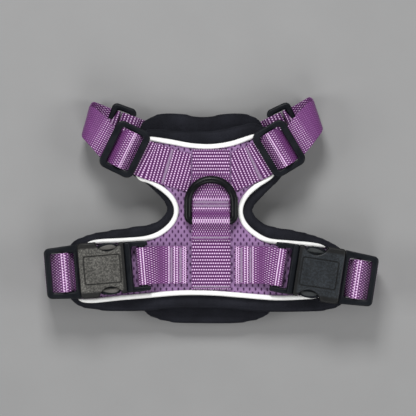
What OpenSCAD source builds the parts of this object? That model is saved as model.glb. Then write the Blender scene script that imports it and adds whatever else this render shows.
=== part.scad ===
// No-pull dog harness for a small dog, laid flat and buckled, back panel on top.
// X runs across the harness, +Y points to the neck opening, +Z is up from the floor.

/* [Webbing] */
// Width of the straps
strap_w = 24.6; // [24:0.2:25]
// Thickness of the straps
web_t = 1.3; // [1.1:0.1:1.4]
// Width of the strip sewn on the middle of the panels
base_w = 25.5; // [25:0.1:25.5]

/* [Panels] */
// Thickness of the padded lining of the back panel
back_lining_t = 4; // [3.5:0.1:4]
// Thickness of the padded lining of the chest panel
chest_lining_t = 3.5; // [3:0.1:3.5]
// Thickness of the air mesh
mesh_t = 2; // [1.8:0.1:2]
// Diameter of the reflective piping
piping_d = 3.3; // [3:0.1:3.3]
// Diameter of the chest panel's piping, which the sewn straps cross
chest_piping_d = 1.8; // [1.6:0.1:1.8]

/* [Leash rings] */
// Inner width of both leash rings
ring_inner_w = 25.4; // [25.4:0.1:26]
// Distance from the bar's axis to the top of the curve's centre line
ring_reach = 27.2; // [25:0.2:29]
// Rod diameter of the back ring
back_rod_d = 4.6; // [4.2:0.1:4.6]
// Rod diameter of the chest ring
front_rod_d = 3.8; // [3.4:0.1:3.8]

/* [Strap hardware] */
// Length of the slider along the strap
slider_l = 24.4; // [24:0.1:25]
// Width of the slider across the strap
slider_w = 33.4; // [33:0.1:34]
// Thickness of the slider's frame
slider_t = 3.2; // [3:0.1:3.2]
// Distance between the two bars of a square ring
link_pitch = 13; // [13:0.1:14]
// Diameter of the bars of a square ring
link_bar_d = 3.6; // [3.4:0.1:3.6]

/* [Buckles] */
// Width of the buckle's body
body_w = 36.4; // [36:0.1:37]
// Length of the buckle's body
body_l = 31; // [30.6:0.1:31]
// Thickness of the buckle's body
body_t = 9.5; // [9:0.1:9.5]
// Width of the webbing frames at both ends
frame_w = 33.2; // [33:0.1:34]
// Distance from the mouth to the outer end of the socket half
socket_l = 52.3; // [52:0.1:52.5]

/* [Hidden] */

half_t = web_t / 2;
slack = 0.3;                       // room between a strap and the bar it passes round
piping_r = piping_d / 2;

// Heights, from the floor up
front_axis_z = 3.6;                // axis of the chest ring's bar
chest_face_z = 7.2;                // outer face of the chest panel, which faces the floor
chest_lining_z = chest_face_z + mesh_t;
chest_top_z = chest_lining_z + chest_lining_t;
back_bottom_z = 17.5;              // lining of the back panel
back_mesh_z = back_bottom_z + back_lining_t;
back_face_z = back_mesh_z + mesh_t;
web_z = back_face_z + half_t;      // middle of a strap that lies on the back panel
second_web_z = web_z + web_t + slack;
back_axis_z = 27.6;                // axis of the back ring's bar
slider_z = 28.5;                   // middle of the slider frames
link_z = 9;                        // middle of the square rings
buckle_z = 30.2;                   // middle of the buckle bodies
male_bar_z = 28.3;                 // bar that holds the buckle's tab

// Back panel: the piping lines, from left to right along the neck and hem
neck_line = [[-46, 46.5], [-40, 47.3], [-27, 45.5], [-13, 43], [0, 42.4], [12, 44], [22, 47], [30, 49.5]];
hem_line = [[-84, -58.8], [-60, -57], [-40, -55.3], [-20, -53.7], [0, -53.8], [20, -55.3],
            [40, -56.9], [56, -56.7], [72, -55.5]];
left_arm_line = [[-47, 21.8], [-40, 19.5], [-31, 13.7], [-25, 7.5], [-22.7, 0.5], [-25, -6.8],
                 [-32, -13.6], [-42, -17.8], [-58, -19.3], [-78, -20.5]];
right_arm_line = [[40, 23.2], [32, 18], [24.5, 11.8], [20.2, 5], [19.4, -2], [22.5, -9],
                  [29, -15], [38, -19.5], [52, -21], [72, -23]];
// The mesh closes round the shoulder ends and the wing ends between the piping lines
left_shoulder_end = [[-53, 29], [-54.5, 36], [-52, 43]];
right_shoulder_end = [[39, 49], [46, 40], [46, 31]];
left_wing_end = [[-91, -52], [-93, -38], [-87, -24]];
right_wing_end = [[82, -28], [86, -40], [81, -53]];
// Outer edge of the padded lining, clockwise from the left shoulder
lining_edge = [[-50, 51], [-40, 54.5], [-20, 53.5], [0, 53.5], [14, 56], [26, 58.5], [34, 57], [44, 50],
               [51, 36], [46, 21], [39, 14], [31, 5.5], [27.8, 1], [30, -4], [38, -9], [52, -11.5],
               [65, -14.5], [76, -18.5], [88, -26], [91.5, -36], [91.5, -50], [86, -62],
               [72, -66.5], [39, -67.5], [20, -66], [0, -65], [-20, -65], [-46, -66.5], [-73, -66],
               [-89, -62], [-97, -51], [-98, -36], [-93, -21.5], [-86, -17], [-76, -13.7], [-53, -10],
               [-40, -8], [-33, -4.5], [-29.6, 1], [-32, 7], [-38, 13], [-45, 19], [-54, 24.5],
               [-58.5, 32], [-56.5, 43]];
// Edge of the chest panel, clockwise from its left shoulder
chest_edge = [[-47, 57], [-40, 62.5], [-30, 65.5], [-18, 64.7], [-7, 62.8], [4, 64], [14, 65.5],
              [24, 64.5], [32, 60.5], [35.5, 53], [34, 40], [27, 22], [22, 6], [22, -6], [28, -17],
              [38, -28], [43, -40], [43, -54], [40, -66], [35, -70.5], [26, -73.5], [10, -75],
              [-8, -74.8], [-24, -74.3], [-35, -72], [-43, -68], [-48, -60], [-50, -44], [-44, -28],
              [-33, -16], [-26, -6], [-26, 6], [-32, 20], [-42, 34], [-49, 46]];
// Piping line of the chest panel, about 8 mm inside its edge
chest_line = [[-41, 51], [-35, 55.5], [-26, 57.3], [-16, 56.5], [-6, 55], [4, 56], [13, 57.2],
              [21, 56.2], [26, 52], [26.5, 44], [22, 30], [16, 16], [14, 2], [15.5, -10], [22, -22],
              [30, -33], [34.5, -45], [34, -57], [29, -64], [20, -66.5], [6, -67.2], [-10, -67],
              [-25, -66.3], [-35, -63], [-41, -55], [-41, -42], [-35, -29], [-25, -17], [-18.5, -4],
              [-18.5, 8], [-24, 22], [-33, 34], [-40, 43]];
chest_mid_x = -4.5;

// Leash rings
ring_bar_y = -6.5;
ring_corner_r = 3.5;
ring_max_room = 0.5;               // between the back ring's bar and its webbing
front_bar_y = 18;

// Shoulders, drawn as the left one: [slider centre, slider turn, ring's strap bar, ring turn,
// middle of the strap's sewn end, strap route outside the slider, the same for the inner layer].
// A route point is [x, y, z, direction of the strap's width in degrees].
left_shoulder = [[-56.5, 40.5], 26, [-68.1, 55.7], 20, [-13.4, 24.7],
                 [[-67.4, 46.5, 25.9, 61], [-72, 52, 26, 59], [-77.3, 57.3, 24.6, 64],
                  [-81, 60.3, 20.5, 72], [-82, 61, 14, 75], [-81, 60.6, 7.4, 74],
                  [-78.2, 59.6, 2.6, 72], [-75, 58.3, 0.9, 70], [-72, 57.1, 2.2, 70]],
                 [[-73.5, 57.7, 11.8, 70], [-77, 59.1, 13, 72], [-79, 60, 16.2, 74],
                  [-78.4, 59.2, 21, 70], [-75.6, 56.3, 23.4, 64], [-71.5, 51.6, 24.2, 59],
                  [-67.4, 46.5, 24.2, 61]]];
right_shoulder = [[-44.5, 41], 31, [-56.4, 56.7], 25, [-13.4, 25.2],
                  [[-54.9, 47.9, 25.9, 57], [-59.5, 53.6, 26, 55], [-64.8, 60, 24.6, 60],
                   [-68.8, 64, 20.5, 69], [-70, 64.8, 14, 72], [-69, 64, 7.4, 71],
                   [-66.2, 62.2, 2.6, 68], [-63, 60.3, 0.9, 66], [-60.1, 58.5, 2.2, 65]],
                  [[-61.4, 59, 11.8, 65], [-65, 61, 13, 68], [-67, 63.2, 16.2, 71],
                   [-66.4, 62.6, 21, 67], [-63.3, 59.2, 23.4, 60], [-58.9, 53.2, 24.2, 55],
                   [-54.9, 47.9, 24.2, 57]]];

// Buckles: [middle of the mouth, turn of the outward axis]
left_buckle = [[-56.3, -37], 184.8];
right_buckle = [[56, -38.5], -8.8];
male_bar_u = -11.6;
male_bar_r = 2.4;
male_plate_u = -4.4;              // inner side of the plug's shoulder plate
male_arm_u = -16;                 // inner ends of the plug's arms
ladder_bar_u = 40;
ladder_bar_r = 1.6;
ladder_z = 29.5;
tab_end_u = -40.6;                 // inner end of the buckle tabs
tab_bend_u = -20;                  // where a tab turns from the buckle's axis to the panel's
prong_root = [-2.2, 10];
prong_root_r = 1.6;
prong_t = 4.4;
catch_u = 3.2;                     // shoulder of a prong, behind the wall of the socket

// ---- Curves and sweeps --------------------------------------------------------------------------

function unit(v) = v / norm(v);
function mix(a, b, t) = a + (b - a) * t;
function turn(a) = [cos(a), sin(a)];
function wrap(p, i) = p[(i + len(p)) % len(p)];
function hold(p, i) = p[max(0, min(len(p) - 1, i))];
function reversed(p) = [for (i = [len(p) - 1:-1:0]) p[i]];

// Point at t between b and c on the smooth curve a, b, c, d
function through(a, b, c, d, t) =
    b + (c - a) * t / 2
    + (2 * a - 5 * b + 4 * c - d) * t * t / 2
    + (3 * b - a - 3 * c + d) * t * t * t / 2;

function closed_curve(p, n) =
    [for (i = [0:len(p) - 1]) for (j = [0:n - 1])
        through(wrap(p, i - 1), p[i], wrap(p, i + 1), wrap(p, i + 2), j / n)];

function open_curve(p, n) =
    concat([for (i = [0:len(p) - 2]) for (j = [0:n - 1])
        through(hold(p, i - 1), p[i], p[i + 1], hold(p, i + 2), j / n)], [p[len(p) - 1]]);

// A clockwise outline with every point moved inwards
function inset(p, d) =
    [for (i = [0:len(p) - 1])
        let (t = unit(wrap(p, i + 1) - wrap(p, i - 1))) p[i] + d * [t.y, -t.x]];

function arc(c, r, from, to, n) = [for (i = [0:n]) c + r * turn(mix(from, to, i / n))];

// Outline of a strip of thickness t whose middle follows the path p
function band(p, t) =
    let (n = [for (i = [0:len(p) - 1])
            let (d = unit(hold(p, i + 1) - hold(p, i - 1))) [-d.y, d.x] * t / 2])
    concat([for (i = [0:len(p) - 1]) p[i] + n[i]], reversed([for (i = [0:len(p) - 1]) p[i] - n[i]]));

// A strip of width w along a path of [distance, height]
module strip(p, w) {
    rotate([90, 0, 0])
        linear_extrude(w, center = true)
            polygon(band(p, web_t));
}

// A strip between two edge curves: each station is [one edge, other edge]
module ribbon(stations, t) {
    n = len(stations);
    mid = [for (s = stations) (s[0] + s[1]) / 2];
    up = [for (i = [0:n - 1])
        unit(cross(stations[i][1] - stations[i][0], hold(mid, i + 1) - hold(mid, i - 1))) * t / 2];
    points = [for (i = [0:n - 1]) each
        [stations[i][0] + up[i], stations[i][1] + up[i], stations[i][1] - up[i], stations[i][0] - up[i]]];
    walls = [for (i = [0:n - 2]) for (k = [0:3])
        let (a = 4 * i + k, b = 4 * i + (k + 1) % 4)
        each [[a, b, b + 4], [a, b + 4, a + 4]]];
    last = 4 * (n - 1);
    polyhedron(points, concat(walls, [[3, 2, 1, 0]], [[last, last + 1, last + 2, last + 3]]));
}

// A station of a strap from [x, y, z, direction of its width]
function station(q) =
    let (c = [q.x, q.y, q.z], s = concat(turn(q[3]), 0) * strap_w / 2) [c - s, c + s];

// A round cord along a path of [x, y, z]
module cord(p, r, sides) {
    n = len(p);
    rings = [for (i = [0:n - 1])
        let (d = unit(hold(p, i + 1) - hold(p, i - 1)),
             across = unit(cross(d, [0, 0, 1])),
             up = cross(across, d))
        each [for (k = [0:sides - 1])
            let (round = turn(360 * k / sides)) p[i] + r * (round.x * across + round.y * up)]];
    walls = [for (i = [0:n - 2]) for (k = [0:sides - 1])
        let (a = i * sides + k, b = i * sides + (k + 1) % sides)
        each [[a, b, b + sides], [a, b + sides, a + sides]]];
    polyhedron(rings, concat(walls,
        [[for (k = [sides - 1:-1:0]) k]],
        [[for (k = [0:sides - 1]) (n - 1) * sides + k]]));
}

// A rectangle with round corners, centred, as a list of points
function rounded(l, w, r) =
    [for (q = [0:3]) for (i = [0:4])
        let (a = q * 90 + i * 22.5,
             cx = (l / 2 - r) * (q == 0 || q == 3 ? 1 : -1),
             cy = (w / 2 - r) * (q < 2 ? 1 : -1))
        [cx, cy] + r * turn(a)];

// ---- Panels -------------------------------------------------------------------------------------

edge_steps = 3;
right_arm_first = len(neck_line) + len(right_shoulder_end);
hem_first = right_arm_first + len(right_arm_line) + len(right_wing_end);
left_arm_first = hem_first + len(hem_line) + len(left_wing_end);
mesh_edge = closed_curve(concat(neck_line, right_shoulder_end, right_arm_line, right_wing_end,
    reversed(hem_line), left_wing_end, reversed(left_arm_line), left_shoulder_end), edge_steps);

module back_lining() {
    color("#16181b")
        translate([0, 0, back_bottom_z])
            linear_extrude(back_lining_t)
                polygon(closed_curve(lining_edge, edge_steps));
}

module back_mesh() {
    color("#8a5a9c")
        translate([0, 0, back_mesh_z])
            linear_extrude(mesh_t)
                polygon(inset(mesh_edge, piping_r + 0.1));
}

// Piping along the mesh's edge, from one of the edge's points over a number of points
module piping(first, count) {
    color("white")
        cord([for (i = [0:edge_steps * (count - 1)])
            let (q = wrap(mesh_edge, edge_steps * first + i))
                [q.x, q.y, back_mesh_z + piping_r]], piping_r, 8);
}

module neck_piping() {
    piping(0, len(neck_line));
}

module left_armhole_piping() {
    piping(left_arm_first, len(left_arm_line));
}

module right_armhole_piping() {
    piping(right_arm_first, len(right_arm_line));
}

module hem_piping() {
    piping(hem_first, len(hem_line));
}

module chest_lining() {
    color("#16181b")
        translate([0, 0, chest_lining_z])
            linear_extrude(chest_lining_t)
                polygon(closed_curve(chest_edge, edge_steps));
}

chest_piping_line = closed_curve(chest_line, edge_steps);

module chest_mesh() {
    color("#8a5a9c")
        translate([0, 0, chest_face_z])
            linear_extrude(mesh_t)
                polygon(inset(chest_piping_line, chest_piping_d / 2 + 0.1));
}

// A loop whose two ends meet at the left shoulder
module chest_piping() {
    color("white")
        cord([for (q = chest_piping_line) [q.x, q.y, chest_lining_z - mesh_t / 2]], chest_piping_d / 2, 6);
}

// ---- Webbing down the middle of the back, and its ring ------------------------------------------

module spine_base_webbing() {
    color("#8d4f9f")
        translate([-base_w / 2, -51.3, back_face_z])
            cube([base_w, 60.3, web_t]);
}

// The upper strip is sewn at the neck, steps up on the lower one and loops over the ring's bar
module spine_webbing() {
    c = [ring_bar_y, back_axis_z];
    r = back_rod_d / 2 + ring_max_room + half_t;
    over = arc(c, r, 25, 155, 10);
    path = concat([[40.3, web_z], [16, web_z], [12.6, web_z + 0.7], [10, second_web_z], [1.5, second_web_z],
                   [-0.8, second_web_z + 0.5], [-2.3, second_web_z + 1.8]], over,
                  [[-11.3, 27.3], [-13.6, 26], [-16, second_web_z], [-19, second_web_z]]);
    color("#a05fb5")
        rotate([0, 0, 90])
            strip(path, strap_w);
}

// A leash ring in the plane of its bar, the bar along X on the origin, the curve towards +Y
module leash_ring(rod_d) {
    r = rod_d / 2;
    half = (ring_inner_w + rod_d) / 2;
    straight = half - ring_corner_r;
    curve = concat(
        [[-straight + 0.6, 0], [-straight, 0]],
        arc([-straight, ring_corner_r], ring_corner_r, 262, 180, 5),
        arc([0, ring_reach - half], half, 180, 0, 20),
        arc([straight, ring_corner_r], ring_corner_r, 0, -82, 5),
        [[straight, 0], [straight - 0.6, 0]]);
    rotate([0, 90, 0])
        cylinder(2 * straight, r = r, center = true, $fn = 48);
    cord([for (q = curve) [q.x, q.y, 0]], r - 0.04, 12);
}

module back_ring() {
    color("#141416")
        translate([0, ring_bar_y, back_axis_z])
            leash_ring(back_rod_d);
}

// ---- Webbing and ring of the chest, on the side that faces the floor ----------------------------

module chest_webbing() {
    color("#8d4f9f")
        translate([chest_mid_x - base_w / 2, -50, chest_face_z - web_t])
            cube([base_w, 92, web_t]);
}

module front_ring_loop() {
    sewn_z = chest_face_z - 1.5 * web_t;
    c = [front_bar_y, front_axis_z];
    r = front_axis_z - half_t;
    side = [[12, sewn_z], [6.5, sewn_z], [4.6, sewn_z - 0.6]];
    path = concat([for (q = side) [front_bar_y - q.x, q.y]],
                  arc(c, r, 205, 335, 10),
                  [for (q = reversed(side)) [front_bar_y + q.x, q.y]]);
    color("#a05fb5")
        translate([chest_mid_x, 0, 0])
            rotate([0, 0, 90])
                strip(path, strap_w);
}

module front_ring() {
    color("#141416")
        translate([chest_mid_x, front_bar_y, front_axis_z])
            mirror([0, 1, 0])
                leash_ring(front_rod_d);
}

// ---- Shoulders ----------------------------------------------------------------------------------

// Places what is drawn along +X, the strap's way outwards, on the left shoulder
module at_slider(side) {
    translate(concat(side[0], slider_z))
        rotate([0, 0, 180 - side[1]])
            children();
}

// Places what is drawn along +X, from the strap's bar to the tab's bar, on the left shoulder
module at_link(side) {
    translate(concat(side[2], link_z))
        rotate([0, 0, -side[3]])
            children();
}

module slider(side) {
    bar = 4.6;
    window_w = strap_w + 0.8;
    color("#17181a")
        at_slider(side) {
            translate([0, 0, -slider_t / 2])
                linear_extrude(slider_t)
                    difference() {
                        polygon(rounded(slider_l, slider_w, 4.6));
                        square([slider_l - 2 * bar, window_w], center = true);
                    }
            rotate([90, 0, 0])
                cylinder(window_w + 2, r = 1.3, center = true, $fn = 32);
        }
}

module square_ring(side) {
    window_w = strap_w + 0.8;
    end_w = 4.2;
    bar_l = window_w + 2 * end_w - 0.4;
    color("#17181a")
        at_link(side) {
            for (x = [0, link_pitch])
                translate([x, 0, 0])
                    rotate([90, 0, 0])
                        cylinder(bar_l, d = link_bar_d, center = true, $fn = 48);
            for (s = [-1, 1])
                translate([-1.2, s * (window_w + end_w) / 2 - end_w / 2, -1.5])
                    cube([link_pitch + 2.4, end_w, 3]);
        }
}

// A tab from under the chest panel, round the ring's bar and back
module ring_tab(side) {
    r = link_bar_d / 2 + slack + half_t;
    low_z = chest_face_z - 1.5 * web_t - slack - link_z;
    high_z = chest_face_z - half_t - 0.05 - link_z;
    reach = 3;                      // the loop is loose and reaches this much further than its bar
    path = concat([[24, low_z], [9, low_z], [4.5, low_z + 0.6], [0, -r]], arc([-reach, 0], r, -90, -270, 12),
                  [[0, r - 0.05], [3, 1.6], [5.4, -0.9], [7.8, high_z + 0.2], [10.5, high_z], [24, high_z]]);
    color("#a05fb5")
        at_link(side)
            translate([link_pitch, 0, 0])
                strip(path, strap_w);
}

// Route point at distance s outwards along the slider and height h over its middle
function at_slide(side, s, h) =
    let (c = side[0] + s * turn(180 - side[1])) [c.x, c.y, slider_z + h, 90 - side[1]];

// Route point at distance s from the ring's strap bar towards its tab bar
function at_loop(side, s, h) =
    let (c = side[2] + s * turn(-side[3])) [c.x, c.y, link_z + h, 90 - side[3]];

// From the panel, through the slider, out and down to the square ring, back inside the same loop,
// and round the slider's middle bar, where it is sewn to itself
module shoulder_strap(side) {
    sewn = side[4];
    near = at_slide(side, -17, 0);
    on_panel = unit([near.x, near.y] - sewn);
    lie = atan2(-on_panel.x, on_panel.y);
    slant = [0, strap_w / 2 / -on_panel.x, 0];
    cut_end = concat(sewn, web_z);
    panel_route = [for (q = [[11, 0], [norm([near.x, near.y] - sewn) - 3, 1.4]])
        let (c = sewn + q.x * on_panel) [c.x, c.y, web_z + q.y, lie]];
    link_r = link_bar_d / 2 + slack + half_t;
    pass_r = 3.85;
    wave = concat(
        [for (q = [[-16, -2.8], [-12.5, -2.65], [-8.5, -2.6], [-6.6, -2.3], [-5.2, -0.4]])
            at_slide(side, q.x, q.y)],
        [for (q = arc([0, 0], pass_r, 150, 30, 8)) at_slide(side, q.x, q.y)],
        [for (q = [[5.2, -0.4], [6.6, -2.3], [8.5, -2.6]]) at_slide(side, q.x, q.y)]);
    round_link = [for (q = arc([0, 0], link_r, -50, 95, 9)) at_loop(side, q.x, q.y)];
    tuck = concat(
        [for (q = [[9, -4.3], [6.5, -4], [3.6, -3.1]]) at_slide(side, q.x, q.y)],
        [for (q = arc([0, 0], 2.25, -80, -290, 12)) at_slide(side, q.x, q.y)]);
    stations = [for (q = concat(panel_route, wave, open_curve(side[5], 2), round_link,
                                open_curve(side[6], 2), tuck)) station(q)];
    color("#a05fb5")
        ribbon(concat([[cut_end - slant, cut_end + slant]], stations), web_t);
}

// ---- Buckles ------------------------------------------------------------------------------------

// Places what is drawn along +X, outwards from the mouth, on a buckle
module at_buckle(b) {
    translate(concat(b[0], 0))
        rotate([0, 0, b[1]])
            children();
}

// From the chest panel along the floor, up through the buckle's outer frame and back under its body
module girth_strap(b, inner_u) {
    sewn_z = chest_face_z - half_t;
    r = ladder_bar_r + slack + half_t;
    route = concat([[inner_u, sewn_z], [-17, sewn_z]],
        open_curve([[-13.5, sewn_z - 0.2], [-8, sewn_z - 1.8], [-3, 2.4], [2, 1], [7, half_t + 0.05]], 3),
        [[12, half_t]]);
    rise = concat([[36, half_t]],
        open_curve([[40, half_t + 0.1], [45, 1.7], [49.6, 5.2], [52.2, 10], [52.6, 15.2], [51, 20.5],
            [47.8, 24.8], [45.4, 27.8]], 3));
    over = arc([ladder_bar_u, ladder_z], r + 0.9, 20, 160, 10);
    tail = open_curve([[35.9, 27.6], [34.6, 25.4], [32, 24.5], [27, 24.5], [16, 24.5]], 3);
    color("#a05fb5")
        at_buckle(b)
            strip(concat(route, rise, over, tail), strap_w);
}

// Sewn on the panel in two layers, and round the bar of the buckle's plug half
module buckle_tab(b) {
    r = male_bar_r + slack + half_t;
    c = [male_bar_u, male_bar_z];
    profile = concat([[tab_end_u, web_z], [-34, web_z], [-26, web_z], [-22, web_z], [-18, web_z + 0.5]],
                     arc(c, r, -100, 100, 12),
                     [[-18, 30.2], [-21.5, 27.8], [-25, 26.2], [-29, second_web_z], [-35, second_web_z],
                      [tab_end_u, second_web_z]]);
    level = b[1] > 90 ? 180 : 0;
    knee = b[0] + tab_bend_u * turn(b[1]);
    stations = [for (q = profile)
        let (blend = max(0, min(1, (q.x - tab_bend_u + 4) / 8)),
             away = q.x - tab_bend_u,
             c = knee + away * turn(away > 0 ? b[1] : level),
             s = concat(turn(mix(level, b[1], blend) + 90), 0) * strap_w / 2,
             m = [c.x, c.y, q.y]) [m - s, m + s]];
    color("#a05fb5")
        ribbon(stations, web_t);
}

// Plug half: bar for the tab, two arms, shoulder plate and middle guide
module buckle_male(b) {
    arm_w = 3.4;
    arm_t = 4.4;
    plate_top = buckle_z + 2.1;
    gap = 0.3;
    fit = 0.06;
    guide = [18, 6, 2.8];
    color("#17181a")
        at_buckle(b) {
            translate([male_bar_u, 0, male_bar_z])
                rotate([90, 0, 0])
                    cylinder(frame_w - 2, r = male_bar_r, center = true, $fn = 48);
            for (s = [-1, 1])
                translate([male_arm_u, s * (frame_w - arm_w) / 2 - arm_w / 2, male_bar_z - arm_t / 2])
                    cube([male_plate_u - male_arm_u + 1, arm_w, arm_t]);
            difference() {
                translate([male_plate_u, -frame_w / 2, male_bar_z - arm_t / 2])
                    cube([-gap - male_plate_u, frame_w, plate_top - male_bar_z + arm_t / 2]);
                for (s = [-1, 1])
                    translate([prong_root.x, s * prong_root.y, buckle_z - prong_t / 2 - 0.1])
                        cylinder(prong_t + 0.2, r = prong_root_r + fit, $fn = 48);
                for (s = [-1, 1])
                    translate([prong_root.x, s * prong_root.y - 1.6, buckle_z - prong_t / 2 - 0.1])
                        cube([5, 3.6, prong_t + 0.2]);
            }
            translate([-1, -guide.y / 2, buckle_z - guide.z / 2])
                cube(guide);
        }
}

// Side shape of a prong: root, springy arm, catch and release pad, tip
function prong_shape() =
    [[prong_root.x, 8.9], [6, 8.6], [14, 8.2], [19.6, 8], [20.6, 9], [20.4, 11.4], [19, 14], [16.2, 16.2],
     [12, 17], [8, 16.9], [5, 16.2], [catch_u, 15], [catch_u, 11.6], [prong_root.x, 11]];

module prong(b, s) {
    color("#3b3c3a")
        at_buckle(b)
            translate([0, 0, buckle_z - prong_t / 2]) {
                linear_extrude(prong_t)
                    polygon([for (q = prong_shape()) [q.x, s * q.y]]);
                translate([prong_root.x, s * prong_root.y, 0])
                    cylinder(prong_t, r = prong_root_r, $fn = 48);
            }
}

// Socket half: hollow body with side openings, and the outer frame with its webbing bar
module buckle_socket(b) {
    cavity = [24, 32, prong_t + 0.8];
    bite = [10.3, 20, 8.2];         // round opening over a release pad: place along, place across, radius
    recess = [25, 19, 0.5];
    frame_t = 4.6;
    mouth_w = body_w - 2.8;
    root_w = body_w - 0.8;          // width of the outer frame where it meets the body
    window = [14.9, 26.8];
    window_u = body_l + 2;
    color("#1b1c1d")
        at_buckle(b) {
            difference() {
                translate([0, 0, buckle_z - body_t / 2])
                    linear_extrude(body_t)
                        translate([body_l / 2, 0])
                            polygon(rounded(body_l, body_w, 2));
                translate([-1, -cavity.y / 2, buckle_z - cavity.z / 2])
                    cube(cavity);
                for (s = [-1, 1])
                    translate([bite.x, s * bite.y, buckle_z - body_t])
                        cylinder(2 * body_t, r = bite.z, $fn = 64);
                for (s = [-1, 1])
                    translate([-1, s * (mouth_w / 2 + 5) - 5, buckle_z - body_t])
                        cube([3.4, 10, 2 * body_t]);
                translate([2.6, -recess.y / 2, buckle_z + body_t / 2 - recess.z])
                    cube(recess + [0, 0, 1]);
            }
            difference() {
                translate([0, 0, ladder_z - frame_t / 2])
                    linear_extrude(frame_t)
                        polygon([[body_l - 1, -root_w / 2], [socket_l, -frame_w / 2],
                                 [socket_l, frame_w / 2], [body_l - 1, root_w / 2]]);
                translate([window_u, -window.y / 2, ladder_z - frame_t])
                    cube([window.x, window.y, 2 * frame_t]);
            }
            translate([ladder_bar_u, 0, ladder_z])
                rotate([90, 0, 0])
                    cylinder(frame_w - 4, r = ladder_bar_r, center = true, $fn = 48);
        }
}

// ---- Nodes --------------------------------------------------------------------------------------

module left_ring_tab() {
    ring_tab(left_shoulder);
}

module right_ring_tab() {
    mirror([1, 0, 0]) ring_tab(right_shoulder);
}

module left_square_ring() {
    square_ring(left_shoulder);
}

module right_square_ring() {
    mirror([1, 0, 0]) square_ring(right_shoulder);
}

module left_slider() {
    slider(left_shoulder);
}

module right_slider() {
    mirror([1, 0, 0]) slider(right_shoulder);
}

module left_shoulder_strap() {
    shoulder_strap(left_shoulder);
}

module right_shoulder_strap() {
    mirror([1, 0, 0]) shoulder_strap(right_shoulder);
}

module left_girth_strap() {
    girth_strap(left_buckle, -37);
}

module right_girth_strap() {
    girth_strap(right_buckle, -45);
}

module left_buckle_tab() {
    buckle_tab(left_buckle);
}

module right_buckle_tab() {
    buckle_tab(right_buckle);
}

module left_buckle_male() {
    buckle_male(left_buckle);
}

module right_buckle_male() {
    buckle_male(right_buckle);
}

module left_buckle_socket() {
    buckle_socket(left_buckle);
}

module right_buckle_socket() {
    buckle_socket(right_buckle);
}

module left_upper_prong() {
    prong(left_buckle, -1);
}

module left_lower_prong() {
    prong(left_buckle, 1);
}

module right_upper_prong() {
    prong(right_buckle, 1);
}

module right_lower_prong() {
    prong(right_buckle, -1);
}

back_lining();
back_mesh();
neck_piping();
left_armhole_piping();
right_armhole_piping();
hem_piping();
spine_base_webbing();
spine_webbing();
back_ring();
chest_lining();
chest_mesh();
chest_piping();
chest_webbing();
front_ring_loop();
front_ring();
left_ring_tab();
right_ring_tab();
left_square_ring();
right_square_ring();
left_slider();
right_slider();
left_shoulder_strap();
right_shoulder_strap();
left_girth_strap();
right_girth_strap();
left_buckle_tab();
right_buckle_tab();
left_buckle_male();
right_buckle_male();
left_buckle_socket();
right_buckle_socket();
left_upper_prong();
left_lower_prong();
right_upper_prong();
right_lower_prong();
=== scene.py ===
"""Looks of the no-pull dog harness. Lengths are in millimetres until new_mesh() turns them into metres."""

from contextlib import contextmanager
from math import cos, pi, radians, sin

import bmesh
import bpy
import numpy as np
from mathutils import Matrix, Vector, geometry


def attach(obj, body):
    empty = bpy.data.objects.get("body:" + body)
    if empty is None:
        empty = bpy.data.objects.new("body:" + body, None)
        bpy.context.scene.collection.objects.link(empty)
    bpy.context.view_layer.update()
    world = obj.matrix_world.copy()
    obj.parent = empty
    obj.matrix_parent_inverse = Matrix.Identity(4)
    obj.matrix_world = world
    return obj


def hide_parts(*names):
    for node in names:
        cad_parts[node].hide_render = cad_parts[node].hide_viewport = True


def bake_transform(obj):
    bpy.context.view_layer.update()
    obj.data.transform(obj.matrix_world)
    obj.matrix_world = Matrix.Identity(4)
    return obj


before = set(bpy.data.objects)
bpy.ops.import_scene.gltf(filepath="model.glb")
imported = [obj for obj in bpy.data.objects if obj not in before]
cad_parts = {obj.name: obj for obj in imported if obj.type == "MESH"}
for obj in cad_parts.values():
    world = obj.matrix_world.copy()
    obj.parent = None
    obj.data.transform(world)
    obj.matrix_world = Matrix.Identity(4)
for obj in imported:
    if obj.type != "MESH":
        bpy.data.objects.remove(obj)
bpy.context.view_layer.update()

MM = 0.001
SIDES = ("left", "right")

# ---- Sizes shared with the CAD source ----

WEB_W = 24.6
BASE_W = 25.5
WEB_T = 1.3
SLACK = 0.3
PIPING_R = 1.65
CHEST_PIPING_R = 0.9
CHEST_FACE_Z = 7.2
CHEST_LINING_Z = 9.2
BACK_MESH_Z = 21.5
BACK_FACE_Z = 23.5
WEB_Z = BACK_FACE_Z + WEB_T / 2
SECOND_WEB_Z = WEB_Z + WEB_T + SLACK
CHEST_MID_X = -4.5
SLIDER_Z = 28.5
LINK_Z = 9
LINK_PITCH = 13
LINK_BAR_R = 1.8
LOOP_SLACK = 1.6         # how far a shoulder strap bulges into the ring's window, against a snug wrap
BUCKLE_Z = 30.2
MALE_BAR_U, MALE_BAR_Z, MALE_BAR_R = -11.6, 28.3, 2.4
LADDER_BAR_U, LADDER_Z, LADDER_BAR_R = 40, 29.5, 1.6
TAB_END_U, TAB_BEND_U = -40.6, -20
BODY_L, BODY_W, BODY_T = 31, 36.4, 9.5
BODY_TOP = BUCKLE_Z + BODY_T / 2
FRAME_W, FRAME_ROOT_W, SOCKET_L, FRAME_T = 33.2, 35.6, 52.3, 4.6
SLIDER_L, SLIDER_W, SLIDER_BAR_R = 24.4, 33.4, 1.3
INNER_LAYER_R, OUTER_LAYER_R = 2.25, 3.85       # middles of the strap's two layers round the slider's bar

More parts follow.
